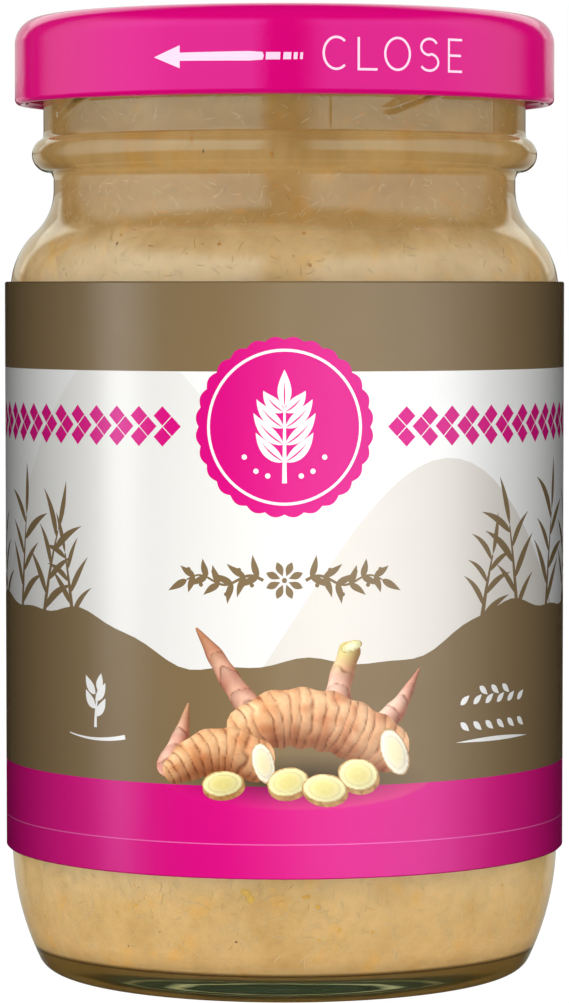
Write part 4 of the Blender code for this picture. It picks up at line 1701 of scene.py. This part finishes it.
def build_soft_boxes():
    """A large shell of soft boxes with dark gaps, seen by gloss and glass but not the label."""
    made, nodes = new_material("studio_boxes", WHITE)
    direction = nodes.take("ShaderNodeVectorMath", {0: nodes.point()}, operation="NORMALIZE")
    x, y, z = nodes.split(direction)
    azimuth = nodes.maths("DEGREES", nodes.maths("ARCTAN2", x, nodes.product(y, -1.0)))
    elevation = nodes.maths("DEGREES", nodes.maths("ARCSINE", z))
    around = nodes.maths("ABSOLUTE", azimuth)
    total = BOX_GAP
    for angle, low, high, soft, floor_angle, ceiling_angle, strength in BOXES:
        value = azimuth if angle == "azimuth" else around
        lit = nodes.product(nodes.window(value, low, high, soft),
                            nodes.window(elevation, floor_angle, ceiling_angle, BOX_SOFTNESS))
        total = nodes.maths("ADD", total, nodes.product(lit, strength))
    near, far, least = FALL_OFF
    fall = nodes.remap(around, near, far, 1.0, least, "LINEAR")
    back = nodes.remap(around, *BACK_FROM, curve="LINEAR")
    total = nodes.product(total, nodes.maths("MAXIMUM", fall, back))
    for low, high, soft, floor_angle, ceiling_angle, edge, depth in FLAGS:
        flag = nodes.product(nodes.window(around, low, high, soft),
                             nodes.window(elevation, floor_angle, ceiling_angle, edge))
        kept = nodes.maths("SUBTRACT", 1.0, nodes.product(flag, depth))
        total = nodes.product(total, kept)
    colour = nodes.mix(nodes.window(around, *BACK_ZONE), BOX_COLOUR, BACK_COLOUR)
    nodes.finish(Surface=nodes.take("ShaderNodeEmission", {"Color": colour, "Strength": total}))
    made.cycles.emission_sampling = "NONE"
    segments, rings = BOX_SHELL_SIDES
    bpy.ops.mesh.primitive_uv_sphere_add(segments=segments, ring_count=rings,
                                         radius=BOX_SHELL_RADIUS * MM,
                                         location=(0.0, 0.0, RIM_Z / 2 * MM))
    shell = bpy.context.object
    shell.name = "studio_boxes"
    shell.data.materials.append(made)
    hide_from(shell, "camera", "diffuse", "shadow", "volume_scatter")
    return shell


def add_lamp(name, azimuth, elevation, strength, spread, receivers, glossy):
    """A distant soft lamp that shines from that direction on some of the pieces."""
    data = bpy.data.lights.new(name, "SUN")
    data.energy = strength
    data.angle = math.radians(spread)
    lamp = new_object(name, data)
    turn, rise = math.radians(azimuth), math.radians(elevation)
    towards = Vector((math.sin(turn) * math.cos(rise), -math.cos(turn) * math.cos(rise),
                      math.sin(rise)))
    lamp.location = towards
    lamp.rotation_euler = towards.to_track_quat("Z", "Y").to_euler()
    hide_from(lamp, "transmission", "diffuse" if glossy else "glossy")
    lamp.light_linking.receiver_collection = receivers


def build_near_lamp(receivers):
    """A small soft box close to the label's front, which falls off towards its sides."""
    data = bpy.data.lights.new("near_lamp", "AREA")
    data.shape = "RECTANGLE"
    data.size, data.size_y = (length * MM for length in NEAR_LAMP_SIZE)
    data.energy = NEAR_LAMP_POWER
    lamp = new_object("near_lamp", data)
    lamp.location = (0.0, -NEAR_LAMP_DISTANCE * MM, (LABEL_BOTTOM_Z + LABEL_TOP_Z) / 2 * MM)
    lamp.rotation_euler = (math.radians(90), 0.0, 0.0)
    hide_from(lamp, "camera", "glossy", "transmission")
    lamp.light_linking.receiver_collection = receivers


def build_lamps(shell):
    """Even light on glass, paste and lid, and a more frontal one on the label."""
    printed = bpy.data.collections.new("label_light")
    other = bpy.data.collections.new("open_light")
    for piece in bpy.context.scene.objects:
        if piece.type == "MESH" and piece is not shell:
            (printed if piece.name == "label_sleeve" else other).objects.link(piece)
    shell.light_linking.receiver_collection = other
    for kind, lamps, receivers in (("open", OPEN_LAMPS, other), ("label", LABEL_LAMPS, printed),
                                   ("sheen", SHEEN_LAMPS, printed)):
        for number, lamp in enumerate(lamps):
            add_lamp(f"{kind}_lamp_{number}", *lamp, receivers, kind == "sheen")
    build_near_lamp(printed)


def build_camera():
    data = bpy.data.cameras.new("camera")
    data.sensor_width = SENSOR_WIDTH
    data.lens = FOCAL_PIXELS * SENSOR_WIDTH / PHOTO_HEIGHT
    data.clip_start, data.clip_end = CAMERA_CLIP_METRES
    camera = new_object("camera", data)
    camera.location = (0.0, -CAMERA_DISTANCE * MM, CAMERA_Z * MM)
    camera.rotation_euler = (math.radians(90 - CAMERA_PITCH), 0.0, 0.0)
    bpy.context.scene.camera = camera
    bpy.context.scene.view_settings.view_transform = "Standard"


build_camera()
build_glass()
build_paste()
build_flecks()
build_label()
build_lid()
build_gasket()
build_floor()
build_world()
build_lamps(build_soft_boxes())
